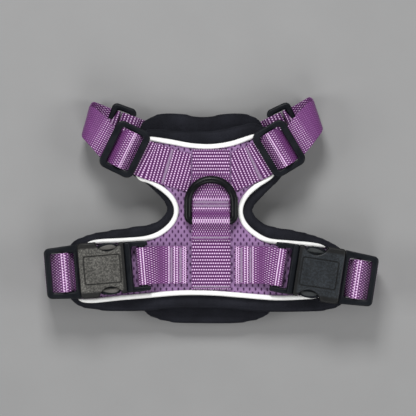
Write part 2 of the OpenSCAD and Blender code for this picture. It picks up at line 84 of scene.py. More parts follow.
# Drawn as the left shoulder: slider centre, slider turn, ring's strap bar, ring turn, middle of the
# sewn end, route outside the slider and route of the inner layer as [x, y, z, direction of the width]
SHOULDER = {
    "left": (
        (-56.5, 40.5), 26, (-68.1, 55.7), 20, (-13.4, 24.7),
        [(-67.4, 46.5, 25.9, 61), (-72, 52, 26, 59), (-77.3, 57.3, 24.6, 64), (-81, 60.3, 20.5, 72),
         (-82, 61, 14, 75), (-81, 60.6, 7.4, 74), (-78.2, 59.6, 2.6, 72), (-75, 58.3, 0.9, 70),
         (-72, 57.1, 2.2, 70)],
        [(-73.5, 57.7, 11.8, 70), (-77, 59.1, 13, 72), (-79, 60, 16.2, 74), (-78.4, 59.2, 21, 70),
         (-75.6, 56.3, 23.4, 64), (-71.5, 51.6, 24.2, 59), (-67.4, 46.5, 24.2, 61)],
    ),
    "right": (
        (-44.5, 41), 31, (-56.4, 56.7), 25, (-13.4, 25.2),
        [(-54.9, 47.9, 25.9, 57), (-59.5, 53.6, 26, 55), (-64.8, 60, 24.6, 60), (-68.8, 64, 20.5, 69),
         (-70, 64.8, 14, 72), (-69, 64, 7.4, 71), (-66.2, 62.2, 2.6, 68), (-63, 60.3, 0.9, 66),
         (-60.1, 58.5, 2.2, 65)],
        [(-61.4, 59, 11.8, 65), (-65, 61, 13, 68), (-67, 63.2, 16.2, 71), (-66.4, 62.6, 21, 67),
         (-63.3, 59.2, 23.4, 60), (-58.9, 53.2, 24.2, 55), (-54.9, 47.9, 24.2, 57)],
    ),
}
# Middle of a buckle's mouth and the turn of its outward axis
BUCKLE = {"left": ((-56.3, -37), 184.8), "right": ((56, -38.5), -8.8)}
GIRTH_INNER_U = {"left": -37, "right": -45}


# ---- Camera, light and floor ----

# Name, place, width, power and highlights of each area light. They all face the origin.
LIGHTS = (
    ("key", (-0.1, 0.75, 0.85), 0.35, 9.5, 1.0),
    ("left", (-0.85, -0.1, 0.7), 0.5, 4.4, 0.25),
    ("right", (0.85, -0.1, 0.7), 0.5, 4.4, 0.25),
    ("front", (0.1, -0.8, 0.7), 0.5, 3.8, 0.25),
)
LENS = 300
CAMERA_PLACE = (-0.002, 0.002, 2.3)
AMBIENT, AMBIENT_POWER = (0.95, 0.97, 1, 1), 0.12
FLOOR_REACH, FLOOR_Z = 900, -0.02


def make_camera():
    data = bpy.data.cameras.new("camera")
    data.lens = LENS
    data.dof.use_dof = False
    camera = bpy.data.objects.new("camera", data)
    camera.location = CAMERA_PLACE
    bpy.context.scene.collection.objects.link(camera)
    bpy.context.scene.camera = camera


def make_light(name, place, size, power, shine):
    data = bpy.data.lights.new(name, "AREA")
    data.size = size
    data.energy = power
    data.specular_factor = shine
    light = bpy.data.objects.new(name, data)
    light.location = place
    light.rotation_euler = (-Vector(place)).to_track_quat("-Z", "Y").to_euler()
    bpy.context.scene.collection.objects.link(light)


def make_stage():
    for light in LIGHTS:
        make_light(*light)
    world = bpy.data.worlds.new("studio")
    world.use_nodes = True
    background = world.node_tree.nodes["Background"]
    background.inputs["Color"].default_value = AMBIENT
    background.inputs["Strength"].default_value = AMBIENT_POWER
    bpy.context.scene.world = world
    bpy.context.scene.view_settings.view_transform = "Standard"
    corners = [(x * FLOOR_REACH, y * FLOOR_REACH, FLOOR_Z) for x, y in ((-1, -1), (1, -1), (1, 1), (-1, 1))]
    floor = new_mesh("floor", corners, [(0, 1, 2, 3)])
    floor.data.materials.append(floor_finish())


# ---- Materials ----

class Nodes:
    """A material's node tree, with short calls for the nodes used here."""

    def __init__(self, name):
        self.material = bpy.data.materials.new(name)
        self.material.use_nodes = True
        self.tree = self.material.node_tree
        self.surface = self.tree.nodes["Principled BSDF"]
        self.place = self.tree.nodes.new("ShaderNodeTexCoord").outputs["Object"]

    def fill(self, node, sockets):
        """Sets a node's inputs to values, or links them to other nodes' outputs."""
        for key, value in sockets.items():
            if isinstance(value, bpy.types.NodeSocket):
                self.tree.links.new(value, node.inputs[key])
            else:
                node.inputs[key].default_value = value

    def node(self, kind, sockets, **settings):
        made = self.tree.nodes.new("ShaderNode" + kind)
        for key, value in settings.items():
            setattr(made, key, value)
        self.fill(made, sockets)
        return made

    def noise(self, size_mm, detail=2.0):
        """Noise whose features are about size_mm wide."""
        sockets = {"Scale": 1 / (size_mm * MM), "Detail": detail, "Vector": self.place}
        return self.node("TexNoise", sockets).outputs["Fac"]

    def cells(self, size_mm):
        sockets = {"Scale": 1 / (size_mm * MM), "Randomness": 0.35, "Vector": self.place}
        return self.node("TexVoronoi", sockets).outputs["Distance"]

    def coordinate(self, axis):
        """One of the object's own coordinates, in millimetres."""
        return self.math("MULTIPLY", self.node("SeparateXYZ", {"Vector": self.place}).outputs[axis], 1 / MM)

    def attribute(self, name):
        return self.node("Attribute", {}, attribute_name=name).outputs["Fac"]

    def ramp(self, value, *stops):
        """Colours at positions from 0 to 1: (position, (r, g, b)) ..."""
        node = self.node("ValToRGB", {"Fac": value})
        while len(node.color_ramp.elements) < len(stops):
            node.color_ramp.elements.new(0.5)
        for element, (position, colour) in zip(node.color_ramp.elements, stops):
            element.position = position
            element.color = (*colour, 1)
        return node.outputs["Color"]

    def spread(self, value, low, high, start=0.3, end=0.7):
        """A value that goes from low to high as the input goes from start to end."""
        sockets = {"From Min": start, "From Max": end, "To Min": low, "To Max": high, "Value": value}
        return self.node("MapRange", sockets).outputs["Result"]

    def math(self, operation, a, b):
        return self.node("Math", {0: a, 1: b}, operation=operation).outputs["Value"]

    def tint(self, colour, value):
        """The colour made lighter or darker by a value about 1."""
        sockets = {"Factor": 1, "A": colour, "B": value}
        return self.node("Mix", sockets, data_type="RGBA", blend_type="MULTIPLY").outputs["Result"]

    def bump(self, height, depth_mm, strength=1.0):
        node = self.node("Bump", {"Distance": depth_mm * MM, "Strength": strength, "Height": height})
        self.fill(self.surface, {"Normal": node.outputs["Normal"]})

    def finish(self, colour, roughness, **sockets):
        """Sets the surface's inputs and returns the material."""
        self.fill(self.surface, {"Base Color": colour, "Roughness": roughness})
        self.fill(self.surface, {key.replace("_", " "): value for key, value in sockets.items()})
        return self.material


def floor_finish():
    n = Nodes("floor_paper")
    return n.finish(n.ramp(n.noise(40), (0.3, (0.27, 0.27, 0.27)), (0.7, (0.28, 0.28, 0.28))),
                    n.spread(n.noise(3), 0.8, 0.9), Specular_IOR_Level=0.2)


def webbing_finish():
    """Nylon webbing: painted shade, dark, between the yarns and a painted highlight, light to near white, on
    their crests, with fibres along the yarns.
    """
    n = Nodes("webbing")
    fibres = n.noise(0.16, 3)
    patches = n.noise(14)
    lift = n.math("ADD", n.attribute("lift"), n.spread(fibres, -0.12, 0.12))
    # The ramp follows the weave's height: painted shade where it is low, a near-white painted highlight where
    # it is high.
    colour = n.ramp(lift, (0.05, (0.066, 0.011, 0.074)), (0.45, (0.19, 0.058, 0.21)),
                    (0.75, (0.52, 0.3, 0.55)), (0.95, (0.97, 0.82, 0.98)))
    shade = n.math("MULTIPLY", n.spread(patches, 0.92, 1.08), n.spread(fibres, 0.9, 1.1))
    n.bump(fibres, 0.05, 0.6)
    return n.finish(n.tint(colour, shade), n.spread(fibres, 0.38, 0.6), Specular_IOR_Level=0.24,
                    Sheen_Weight=0.04, Sheen_Roughness=0.4, Sheen_Tint=(0.9, 0.75, 0.95, 1))


def thread_finish():
    n = Nodes("thread")
    twist = n.noise(0.2, 2)
    n.bump(twist, 0.06)
    return n.finish(n.ramp(twist, (0.3, (0.26, 0.17, 0.29)), (0.7, (0.42, 0.31, 0.45))),
                    n.spread(twist, 0.5, 0.7))


def air_mesh_finish():
    n = Nodes("air_mesh")
    knit = n.noise(0.35, 3)
    patches = n.noise(9, 2)
    level = n.math("ADD", n.attribute("lift"), n.spread(knit, -0.1, 0.1))
    # Darker where the holes sink: painted shade in the holes.
    colour = n.ramp(level, (0.1, (0.06, 0.02, 0.075)), (0.5, (0.13, 0.065, 0.155)), (0.85, (0.26, 0.15, 0.3)))
    n.bump(knit, 0.12, 0.8)
    return n.finish(n.tint(colour, n.spread(patches, 0.88, 1.12)), n.spread(knit, 0.7, 0.9),
                    Specular_IOR_Level=0.2, Sheen_Weight=0.05, Sheen_Roughness=0.5)


def lining_finish():
    n = Nodes("padded_lining")
    knit = n.cells(0.85)
    fluff = n.noise(0.3, 3)
    patches = n.noise(11, 2)
    colour = n.ramp(knit, (0.05, (0.0035, 0.004, 0.0065)), (0.6, (0.013, 0.0135, 0.0185)))
    n.bump(n.math("ADD", knit, n.spread(fluff, -0.2, 0.2)), 0.22, 0.8)
    return n.finish(n.tint(colour, n.spread(patches, 0.8, 1.25)), n.spread(fluff, 0.75, 0.95),
                    Specular_IOR_Level=0.12)


def piping_finish():
    """Reflective tape: white, with tiny glass beads and a little dirt."""
    n = Nodes("reflective_piping")
    beads = n.cells(0.28)
    dirt = n.noise(5, 3)
    n.bump(beads, 0.03, 0.5)
    return n.finish(n.ramp(dirt, (0.3, (0.86, 0.86, 0.84)), (0.6, (0.96, 0.96, 0.94))),
                    n.spread(beads, 0.25, 0.45, 0, 0.6))


def plastic_finish(name, dark, light, grain_mm=0.35, grain_depth=0.04, low=0.35, high=0.55, shine=0.35,
                   body=False):
    """Moulded acetal: fine spark-eroded grain, with handling marks. A buckle's body also gets painted shade.
    """
    n = Nodes(name)
    grain = n.noise(grain_mm, 4)
    wear = n.noise(8, 4)
    n.bump(grain, grain_depth, 0.7)
    shade = n.spread(wear, 0.85, 1.2)
    for part in body_mottling_and_painted_shade(n) if body else ():
        shade = n.math("MULTIPLY", shade, part)
    return n.finish(n.tint(n.ramp(grain, (0.35, dark), (0.65, light)), shade),
                    n.spread(wear, low, high), Specular_IOR_Level=shine)


def body_mottling_and_painted_shade(n):
    """What darkens a buckle's body: random mottling, and painted shade at the mouth, along the long edges and
    in the groove round the panel.
    """
    # Random mottling, then painted shade: at the mouth's end next to the plug, on the long edges and in the
    # groove below the panel's top.
    off_middle = n.math("ABSOLUTE", n.coordinate("Y"), 0)
    return (n.spread(n.noise(1.1, 1), 0.55, 1.5, 0.38, 0.62),
            n.spread(n.coordinate("X"), 0.07, 1, 1.5, 2.6),
            n.spread(off_middle, 1, 0.07, 13.7, 14.9),
            n.spread(n.coordinate("Z"), 0.3, 1, BODY_TOP - 0.45, BODY_TOP - 0.3))


def ring_finish():
    """Gloss black enamel on steel."""
    n = Nodes("ring_metal")
    peel = n.noise(1.2, 3)
    wear = n.noise(6, 4)
    n.bump(peel, 0.02, 0.5)
    return n.finish(n.ramp(wear, (0.35, (0.004, 0.0045, 0.005)), (0.7, (0.008, 0.0085, 0.01))),
                    n.spread(wear, 0.26, 0.4), Specular_IOR_Level=0.16)


FINISH = {}


def make_finishes():
    # A buckle's body: coarser grain, random mottling and painted shade.
    body = dict(grain_mm=0.42, grain_depth=0.09, body=True)
    pad = dict(grain_mm=0.3, grain_depth=0.06, low=0.5, high=0.65)
    FINISH.update(
        webbing=webbing_finish(),
        thread=thread_finish(),
        air_mesh=air_mesh_finish(),
        lining=lining_finish(),
        piping=piping_finish(),
        black=plastic_finish("black_plastic", (0.0035, 0.0045, 0.0065), (0.008, 0.0095, 0.0125), shine=0.14),
        left_body=plastic_finish("grey_plastic", (0.026, 0.025, 0.0225), (0.112, 0.109, 0.098),
                                 low=0.5, high=0.7, **body),
        right_body=plastic_finish("blue_black_plastic", (0.0055, 0.0075, 0.0095), (0.0155, 0.0195, 0.0245),
                                  low=0.45, high=0.6, **body),
        pad=plastic_finish("pad_plastic", (0.05, 0.047, 0.042), (0.13, 0.125, 0.115), **pad),
        right_pad=plastic_finish("dark_pad_plastic", (0.014, 0.016, 0.017), (0.035, 0.04, 0.041), **pad),
        ring=ring_finish(),
    )


# ---- Curves ----

def unit(v):
    v = np.asarray(v, float)
    return v / np.linalg.norm(v, axis=-1, keepdims=True)


def turn(degrees):
    return np.array([cos(radians(degrees)), sin(radians(degrees))])


def ease(t):
    t = np.clip(t, 0, 1)
    return t * t * (3 - 2 * t)


def through(a, b, c, d, t):
    """Where a smooth curve through four points is, as t goes from 0 at b to 1 at c."""
    return b + (c - a) * t / 2 + (2 * a - 5 * b + 4 * c - d) * t * t / 2 + (3 * b - a - 3 * c + d) * t**3 / 2


def open_curve(points, steps):
    p = np.array(points, float)
    p = np.vstack([p[:1], p, p[-1:]])
    curve = [through(*p[i : i + 4], j / steps) for i in range(len(p) - 3) for j in range(steps)]
    return [tuple(q) for q in curve] + [tuple(p[-1])]


def closed_curve(points, steps):
    p = np.array(points, float)
    n = len(p)
    return np.array([through(p[i - 1], p[i], p[(i + 1) % n], p[(i + 2) % n], j / steps)
                     for i in range(n) for j in range(steps)])


def arc(centre, radius, start, end, n):
    return [tuple(np.array(centre) + radius * turn(start + (end - start) * i / n)) for i in range(n + 1)]


def outwards(outline, distance):
    """A closed outline with every point moved outwards."""
    along = unit(np.roll(outline, -1, 0) - np.roll(outline, 1, 0))
    x, y = outline.T
    area = np.sum(x * np.roll(y, -1) - np.roll(x, -1) * y) / 2
    return outline + distance * np.sign(area) * np.stack([along[:, 1], -along[:, 0]], 1)


def rounded(low, high, radius, steps=6):
    """Anticlockwise rectangle with round corners between two corner points."""
    (x0, y0), (x1, y1) = low, high
    corners = ((x1 - radius, y1 - radius, 0), (x0 + radius, y1 - radius, 90),
               (x0 + radius, y0 + radius, 180), (x1 - radius, y0 + radius, 270))
    return np.array([q for x, y, a in corners for q in arc((x, y), radius, a, a + 90, steps)])


def spaced(outline, step):
    """A closed outline with points about step apart."""
    closed = np.vstack([outline, outline[:1]])
    far = np.concatenate([[0], np.cumsum(np.linalg.norm(np.diff(closed, axis=0), axis=1))])
    at = np.linspace(0, far[-1], int(far[-1] / step), endpoint=False)
    return np.stack([np.interp(at, far, closed[:, k]) for k in range(closed.shape[1])], 1)


def inside(outline, points):
    """Which of the points lie inside the closed outline."""
    x, y = points.T
    found = np.zeros(len(points), bool)
    for (x0, y0), (x1, y1) in zip(outline, np.roll(outline, -1, 0)):
        if y0 != y1:
            crosses = ((y0 > y) != (y1 > y)) & (x < (x1 - x0) * (y - y0) / (y1 - y0) + x0)
            found ^= crosses
    return found


def distance_to(line, points, chunk=4000):
    """Distance of each point from the closest of a line's points."""
    parts = [points[i : i + chunk] for i in range(0, len(points), chunk)]
    return np.concatenate([np.linalg.norm(p[:, None] - line[None], axis=2).min(1) for p in parts])


# ---- Meshes ----

def new_mesh(name, points, faces):
    """An object from points in millimetres and faces, which are an array of quads or a list of any faces."""
    mesh = bpy.data.meshes.new(name)
    points = np.asarray(points, float) * MM
    if isinstance(faces, np.ndarray):
        mesh.vertices.add(len(points))
        mesh.vertices.foreach_set("co", points.astype(np.float32).ravel())
        mesh.loops.add(faces.size)
        mesh.loops.foreach_set("vertex_index", faces.astype(np.int32).ravel())
        mesh.polygons.add(len(faces))
        mesh.polygons.foreach_set("loop_start", np.arange(len(faces), dtype=np.int32) * faces.shape[1])
        mesh.update(calc_edges=True)
    else:
        mesh.from_pydata([tuple(p) for p in points], [], [tuple(int(i) for i in f) for f in faces])
    mesh.validate()
    obj = bpy.data.objects.new(name, mesh)
    bpy.context.scene.collection.objects.link(obj)
    return obj


def dress(obj, finish, body=None, replaces=(), smooth=True):
    """Gives a piece its material and its body, and hides the CAD nodes that it stands for."""
    obj.data.materials.clear()
    obj.data.materials.append(FINISH[finish])
    if smooth:
        obj.data.shade_smooth()
    if body:
        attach(obj, body)
    if replaces:
        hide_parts(*replaces)
    return obj


def put(obj, matrix):
    """Moves a mesh by a matrix whose shift is in metres."""
    obj.data.transform(matrix)
    if matrix.determinant() < 0:
        obj.data.flip_normals()


@contextmanager
def editing(obj):
    """An object's mesh opened for editing, and written back at the end."""
    mesh = bmesh.new()
    mesh.from_mesh(obj.data)
    yield mesh
    mesh.to_mesh(obj.data)
    mesh.free()


def points_of(obj):
    """An object's points as an array, in metres."""
    return np.array([v.co for v in obj.data.vertices])


def set_points(obj, points):
    obj.data.vertices.foreach_set("co", points.astype(np.float32).ravel())


def set_lift(obj, values):
    """Stores how high each point of a woven or knitted surface stands, from 0 to 1, for its colour: painted
    shade where it is low and painted light where it is high.
    """
    obj.data.attributes.new("lift", "FLOAT", "POINT").data.foreach_set("value", values.astype(np.float32))


def apply_modifiers(obj):
    made = bpy.data.meshes.new_from_object(obj.evaluated_get(bpy.context.evaluated_depsgraph_get()))
    obj.modifiers.clear()
    obj.data = made


def joined(name, objects):
    """Several objects as one mesh."""
    merged = bmesh.new()
    for o in objects:
        merged.from_mesh(o.data)
    first = objects[0]
    for o in objects[1:]:
        bpy.data.objects.remove(o)
    merged.to_mesh(first.data)
    merged.free()
    first.name = name
    return first


def grid(rows, columns, round_columns=False, first=0):
    """Quads of a grid of rows by columns; the last column meets the first when round_columns is set."""
    last = columns if round_columns else columns - 1
    r, c = np.meshgrid(np.arange(rows - 1), np.arange(last), indexing="ij")
    nxt = (c + 1) % columns
    quads = np.stack([r * columns + c, r * columns + nxt, (r + 1) * columns + nxt, (r + 1) * columns + c], -1)
    return quads.reshape(-1, 4) + first


DOME = ((0.98, 0.2), (0.8, 0.6), (0.45, 0.9))       # a bar's domed end: how far out and how wide, in radii


def tube(name, path, radius, sides=12, closed=False):
    """A round bar along a path, with domed ends unless it is closed."""
    p = np.array(path, float)
    if closed:
        along = unit(np.roll(p, -1, 0) - np.roll(p, 1, 0))
    else:
        along = unit(np.gradient(p, axis=0))
    up = np.zeros_like(p)
    up[0] = unit(np.cross(along[0], (0.013, 0.021, 1)))
    for i in range(1, len(p)):
        up[i] = unit(up[i - 1] - along[i] * np.dot(up[i - 1], along[i]))
    side = np.cross(along, up)
    r = np.broadcast_to(np.asarray(radius, float), (len(p),))
    if not closed:
        head = [p[0] - along[0] * r[0] * out for out, _ in DOME]
        tail = [p[-1] + along[-1] * r[-1] * out for out, _ in DOME[::-1]]
        p = np.vstack([head, p, tail])
        r = np.concatenate([[wide * r[0] for _, wide in DOME], r, [wide * r[-1] for _, wide in DOME[::-1]]])
        up, side = (np.vstack([[v[0]] * 3, v, [v[-1]] * 3]) for v in (up, side))
    angle = np.arange(sides) * 2 * pi / sides
    ring = np.cos(angle)[None, :, None] * side[:, None] + np.sin(angle)[None, :, None] * up[:, None]
    points = (p[:, None] + r[:, None, None] * ring).reshape(-1, 3)
    faces = [tuple(q) for q in grid(len(p), sides, True)]
    last = (len(p) - 1) * sides
    if closed:
        faces += [(last + k, last + (k + 1) % sides, (k + 1) % sides, k) for k in range(sides)]
    else:
        faces += [tuple(range(sides))[::-1], tuple(range(last, last + sides))]
    obj = new_mesh(name, points, faces)
    straighten(obj)
    return obj


def straighten(obj):
    """Turns every face outwards."""
    with editing(obj) as mesh:
        bmesh.ops.recalc_face_normals(mesh, faces=mesh.faces)


def plate(name, outlines, low, high, edge, steps=4):
    """A moulded plate between two heights with rounded edges. The first outline is the outside, and the
    rest are openings."""
    profile = [(edge * (1 - sin(a)), edge * (1 - cos(a))) for a in np.linspace(0, pi / 2, steps + 1)]
    levels = [(inset, low + rise) for inset, rise in profile]
    levels += [(inset, high - rise) for inset, rise in reversed(profile)]
    points, faces, smooth, caps = [], [], [], []
    for k, outline in enumerate(outlines):
        outline = np.array(outline, float)
        n, first = len(outline), len(points)
        for inset, z in levels:
            moved = outwards(outline, inset if k else -inset)
            points += [(x, y, z) for x, y in moved]
        faces += [tuple(q) for q in grid(len(levels), n, True, first)]
        smooth += [True] * ((len(levels) - 1) * n)
        caps.append([list(range(first, first + n)), list(range(len(points) - n, len(points)))])
    for which in (0, 1):
        loops = [cap[which] for cap in caps]
        order = [i for loop in loops for i in loop]
        for triangle in geometry.tessellate_polygon([[Vector(points[i]) for i in loop] for loop in loops]):
            faces.append(tuple(order[i] for i in triangle))
            smooth.append(False)
    obj = new_mesh(name, points, faces)
    obj.data.polygons.foreach_set("use_smooth", smooth[: len(obj.data.polygons)])
    straighten(obj)
    return obj


def cut(obj, *tools):
    """Removes the tools' solids from an object."""
    for tool in tools:
        modifier = obj.modifiers.new("cut", "BOOLEAN")
        modifier.operation = "DIFFERENCE"
        modifier.solver = "EXACT"
        modifier.object = tool
        apply_modifiers(obj)
        bpy.data.objects.remove(tool)


# ---- Webbing ----

# The weave: pitches of the ribs along the webbing, of the yarns across it and of the staggered rows
RIB, BEAD, FINE_ROW = 2.13, 1.55, 1.75
# How sharply the ribs and the staggered dots stand out
RIB_SHARP, DOT_SHARP = 1.4, 2.1
# The webbing's section: radius of its edges, half thickness between the yarns, and the yarns' rise over it
EDGE_R, VALLEY_HALF, YARN_RISE = 0.5, 0.38, 0.27
# Its mesh: distance between points across, and rows of points to a rib
POINT_PITCH, ROWS_PER_RIB = 0.25, 8
SKEW_REACH = 26             # how far along a slanting cut shifts the weave
# How quickly the stretches that differ begin and end: staggered, shallow, pressed by stitches
FINE_EASE, CALM_EASE, PRESSED_EASE = 1.2, 5, 0.4
# A shallow stretch: the level that it moves, where to, and the share of the relief it keeps
CALM_FROM, CALM_TO, CALM_SHARE = 0.3, 0.25, 0.42
# The single raised rows also take the colour ramp's near white: painted highlight lines.
BRIGHT_HALF = 0.36          # half width of a single raised row
# Under stitches: how much of the relief goes, and what level it goes to
PRESSED_SHARE, PRESSED_LEVEL = 0.45, 0.2
# Stitches: thread radius and pitch, rise over the strap's middle, and what a crossing adds
THREAD_R, THREAD_PITCH, THREAD_RISE, THREAD_CROSSING = 0.2, 0.62, 0.56, 0.12


class Path:
    """The middle line of a strap: points and the direction of its width, smoothed, by distance along it."""

    def __init__(self, centres, across, soft=0.8):
        c, a = np.array(centres, float), unit(across)
        self.marks = np.concatenate([[0], np.cumsum(np.linalg.norm(np.diff(c, axis=0), axis=1))])
        self.length = self.marks[-1]
        self.at_d = np.linspace(0, self.length, int(self.length / 0.1) + 2)
        c, a = (np.stack([np.interp(self.at_d, self.marks, v[:, k]) for k in range(3)], 1) for v in (c, a))
        self.c, self.a = self.smooth(c, soft), unit(self.smooth(a, soft))
        along = unit(np.gradient(self.c, axis=0))
        self.n = unit(np.cross(self.a, along))

    @staticmethod
    def smooth(values, soft):
        """Values every 0.1 mm, averaged over about soft millimetres without moving the ends."""
        reach = int(soft * 30)
        kernel = np.exp(-0.5 * (np.arange(-reach, reach + 1) / (soft * 10)) ** 2)
        kernel /= kernel.sum()
        head = 2 * values[:1] - values[reach:0:-1]
        tail = 2 * values[-1:] - values[-2 : -reach - 2 : -1]
        padded = np.vstack([head, values, tail])
        return np.stack([np.convolve(padded[:, k], kernel, "valid") for k in range(3)], 1)

    def at(self, d):
        """Centre, width direction and normal at distances d."""
        found = (self.c, self.a, self.n)
        return [np.stack([np.interp(d, self.at_d, v[:, k]) for k in range(3)], -1) for v in found]

    def nearest(self, point):
        """Distance along the path of its closest point."""
        return self.at_d[np.argmin(np.linalg.norm(self.c - np.array(point, float), axis=1))]

    def up_side(self, d, up):
        """Which side of the strap faces up (or down, for up -1) at distance d."""
        return up if self.at(np.array([d]))[2][0][2] > 0 else -up


def flat_path(points, x=0.0):
    """A strap in a plane of constant x, from (y, z) points."""
    return Path([(x, y, z) for y, z in points], [(1, 0, 0)] * len(points))


def placed(matrix, u, z):
    """Where a matrix in metres puts (u, 0, z), in millimetres."""
    return matrix @ (Vector((u, 0, z)) * MM) / MM


def placed_path(matrix, profile, soft):
    """A strap's path from (u, z) points drawn in a fitting's own axes."""
    return Path([placed(matrix, u, z) for u, z in profile],
                [matrix.to_3x3() @ Vector((0, 1, 0))] * len(profile), soft)


def weave(u, d, ribbed, coarse):
    """Height of the weave from 0 to 1: rows of beads on ribs where ribbed is 1, and a fine staggered
    pattern where it is 0. coarse scales the yarns."""
    row = np.cos(2 * pi * d / RIB)
    yarn = np.cos(2 * pi * u / (BEAD * coarse))
    stagger = np.cos(pi * np.round(d / RIB))
    ribs = (0.5 + 0.5 * row) ** RIB_SHARP * (0.76 + 0.42 * yarn * stagger)
    dots = 0.5 + 0.5 * yarn * np.cos(pi * d / (FINE_ROW * coarse))
    fine = 1.08 * dots**DOT_SHARP
    return np.clip(ribbed * ribs + (1 - ribbed) * fine, 0, 1)


def cross_section(width):
    """Places across a strap, closer together at its rounded edges, and the share of its thickness there."""
    edge = width / 2 - EDGE_R + EDGE_R * np.sin(np.linspace(0, pi / 2, 4))
    flat = np.linspace(-width / 2 + EDGE_R, width / 2 - EDGE_R, int(width / POINT_PITCH))
    u = np.concatenate([-edge[::-1], flat[1:-1], edge])
    past = np.clip(np.abs(u) - width / 2 + EDGE_R, 0, EDGE_R)
    return u, np.sqrt(np.clip(1 - (past / EDGE_R) ** 2, 0, 1))


def stretch(d, low, high, soft):
    """1 between two distances along a strap, easing to 0 at both."""
    return ease((d - low) / soft) * ease((high - d) / soft)


def strap_lift(u, d, fine, calm, bright, flat, coarse):
    """Height of a strap's surface from 0 to 1, from its weave and the stretches that differ."""
    ribbed = np.ones_like(d)
    for low, high in fine:
        ribbed *= 1 - stretch(d, low, high, FINE_EASE)
    lift = weave(u, d, ribbed, coarse)
    for low, high in calm:
        shallow = CALM_TO + CALM_SHARE * (lift - CALM_FROM)
        lift = lift + (shallow - lift) * stretch(d, low, high, CALM_EASE)
    # Single raised rows, relief that the colour turns near white: painted highlight lines.
    for row in bright:
        bead = 0.86 + 0.14 * np.cos(2 * pi * u / BEAD)
        lift = np.maximum(lift, bead * np.exp(-(((d - row) / BRIGHT_HALF) ** 4)))
    for low, high in flat:
        pressed = stretch(d, low, high, PRESSED_EASE)
        lift = lift * (1 - PRESSED_SHARE * pressed) + PRESSED_LEVEL * pressed
    return lift


def wrapped(top, under):
    """Rows of values all round a strap: across its top and back underneath."""
    return np.concatenate([top, under[:, ::-1][:, 1:-1]], 1)


def strap_faces(rows, columns):
    """The quads round a strap and across its two cut ends."""
    cap = np.array([(k, k + 1, (columns - k - 1) % columns, (columns - k) % columns)
                    for k in range(1, columns // 2 - 1)])
    return np.concatenate([grid(rows, columns, True), cap[:, ::-1], cap + (rows - 1) * columns])


def webbing(name, path, start, end, width=WEB_W, fine=(), calm=(), flat=(), bright=(), skew=0.0, narrow=(),
            coarse=1.0):
    """A strap along a path between two distances. fine, calm and flat are stretches (from, to) with the
    staggered weave, with a shallower one, and with stitches pressed in. bright are single raised rows, which
    the colour turns near white as painted highlight lines.
    skew slants the cut at the start. narrow are stretches (from, to, ease, near edge, far edge) over which
    the two edges come in by so much. coarse scales the yarns."""
    u, full = cross_section(width)
    rows = max(8, int((end - start) / (RIB / ROWS_PER_RIB)))
    t = np.linspace(0, 1, rows + 1)[:, None]
    fade = np.clip(1 - t * (end - start) / SKEW_REACH, 0, 1)
    d = start + t * (end - start) + fade * skew * u
    across = np.broadcast_to(u, d.shape).copy()
    for low, high, soft, near, far in narrow:
        across += stretch(d, low, high, soft) * (near * (0.5 - u / width) - far * (0.5 + u / width))
    lift = strap_lift(u, d, fine, calm, bright, flat, coarse)
    half = (VALLEY_HALF + YARN_RISE * lift) * full
    c, a, n = path.at(np.clip(d, 0, path.length))
    middle = c + a * across[..., None]
    around = wrapped(middle + n * half[..., None], middle - n * half[..., None])
    rows, columns = around.shape[:2]
    obj = new_mesh(name, around.reshape(-1, 3), strap_faces(rows, columns))
    close_ends(obj)
    # The colour reads this height: painted shade in the valleys, painted highlight on the crests.
    set_lift(obj, wrapped(lift, lift).ravel())
    dress(obj, "webbing")
    flatten_ends(obj, columns, rows)
    return obj


def whole_strap(name, path, node, **weave_style):
    """A strap of one length, sewn to the harness."""
    dress(webbing(name, path, 0, path.length, **weave_style), "webbing", "harness", [node])


def blend(obj, path, low, high):
    """Bakes a strap's placement into its mesh, after finding its path's centres at the two distances."""
    centres = path.at(np.array([low, high]))[0] * MM
    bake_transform(obj)


def flatten_ends(obj, columns, rows):
    """Shades the two cut ends flat, so that two lengths of one strap meet without a visible line."""
    last = (rows - 1) * columns
    for face in obj.data.polygons:
        if max(face.vertices) < columns or min(face.vertices) >= last:
            face.use_smooth = False


def close_ends(obj):
    """Fills what is left open and turns the faces outwards, without changing the points' order."""
    with editing(obj) as mesh:
        bmesh.ops.holes_fill(mesh, edges=[e for e in mesh.edges if e.is_boundary], sides=8)
        bmesh.ops.recalc_face_normals(mesh, faces=mesh.faces)


def bar_tack(name, path, middle, width, reach=11.5, up=1):
    """A dense zigzag of thread across a strap, parallel to its ribs, on the side that faces up, or down for
    up -1."""
    chance = np.random.default_rng(len(name) + int(10 * middle))
    step = np.arange(4 * int(2 * reach / THREAD_PITCH) + 1)
    u = np.linspace(-reach, reach, len(step))
    u[1:-1] += chance.uniform(-0.05, 0.05, len(u) - 2)
    swing = np.clip(1.35 * np.sin(step * pi / 2), -1, 1) * chance.uniform(0.8, 1.12, len(u))
    c, a, n = path.at(middle + swing * width / 2)
    lift = THREAD_RISE + THREAD_CROSSING * np.abs(np.cos(step * pi / 2))
    points = c + a * u[:, None] + path.up_side(middle, up) * n * lift[:, None]
    dress(tube(name, points, THREAD_R, 6), "thread", "harness")


# ---- Panels ----

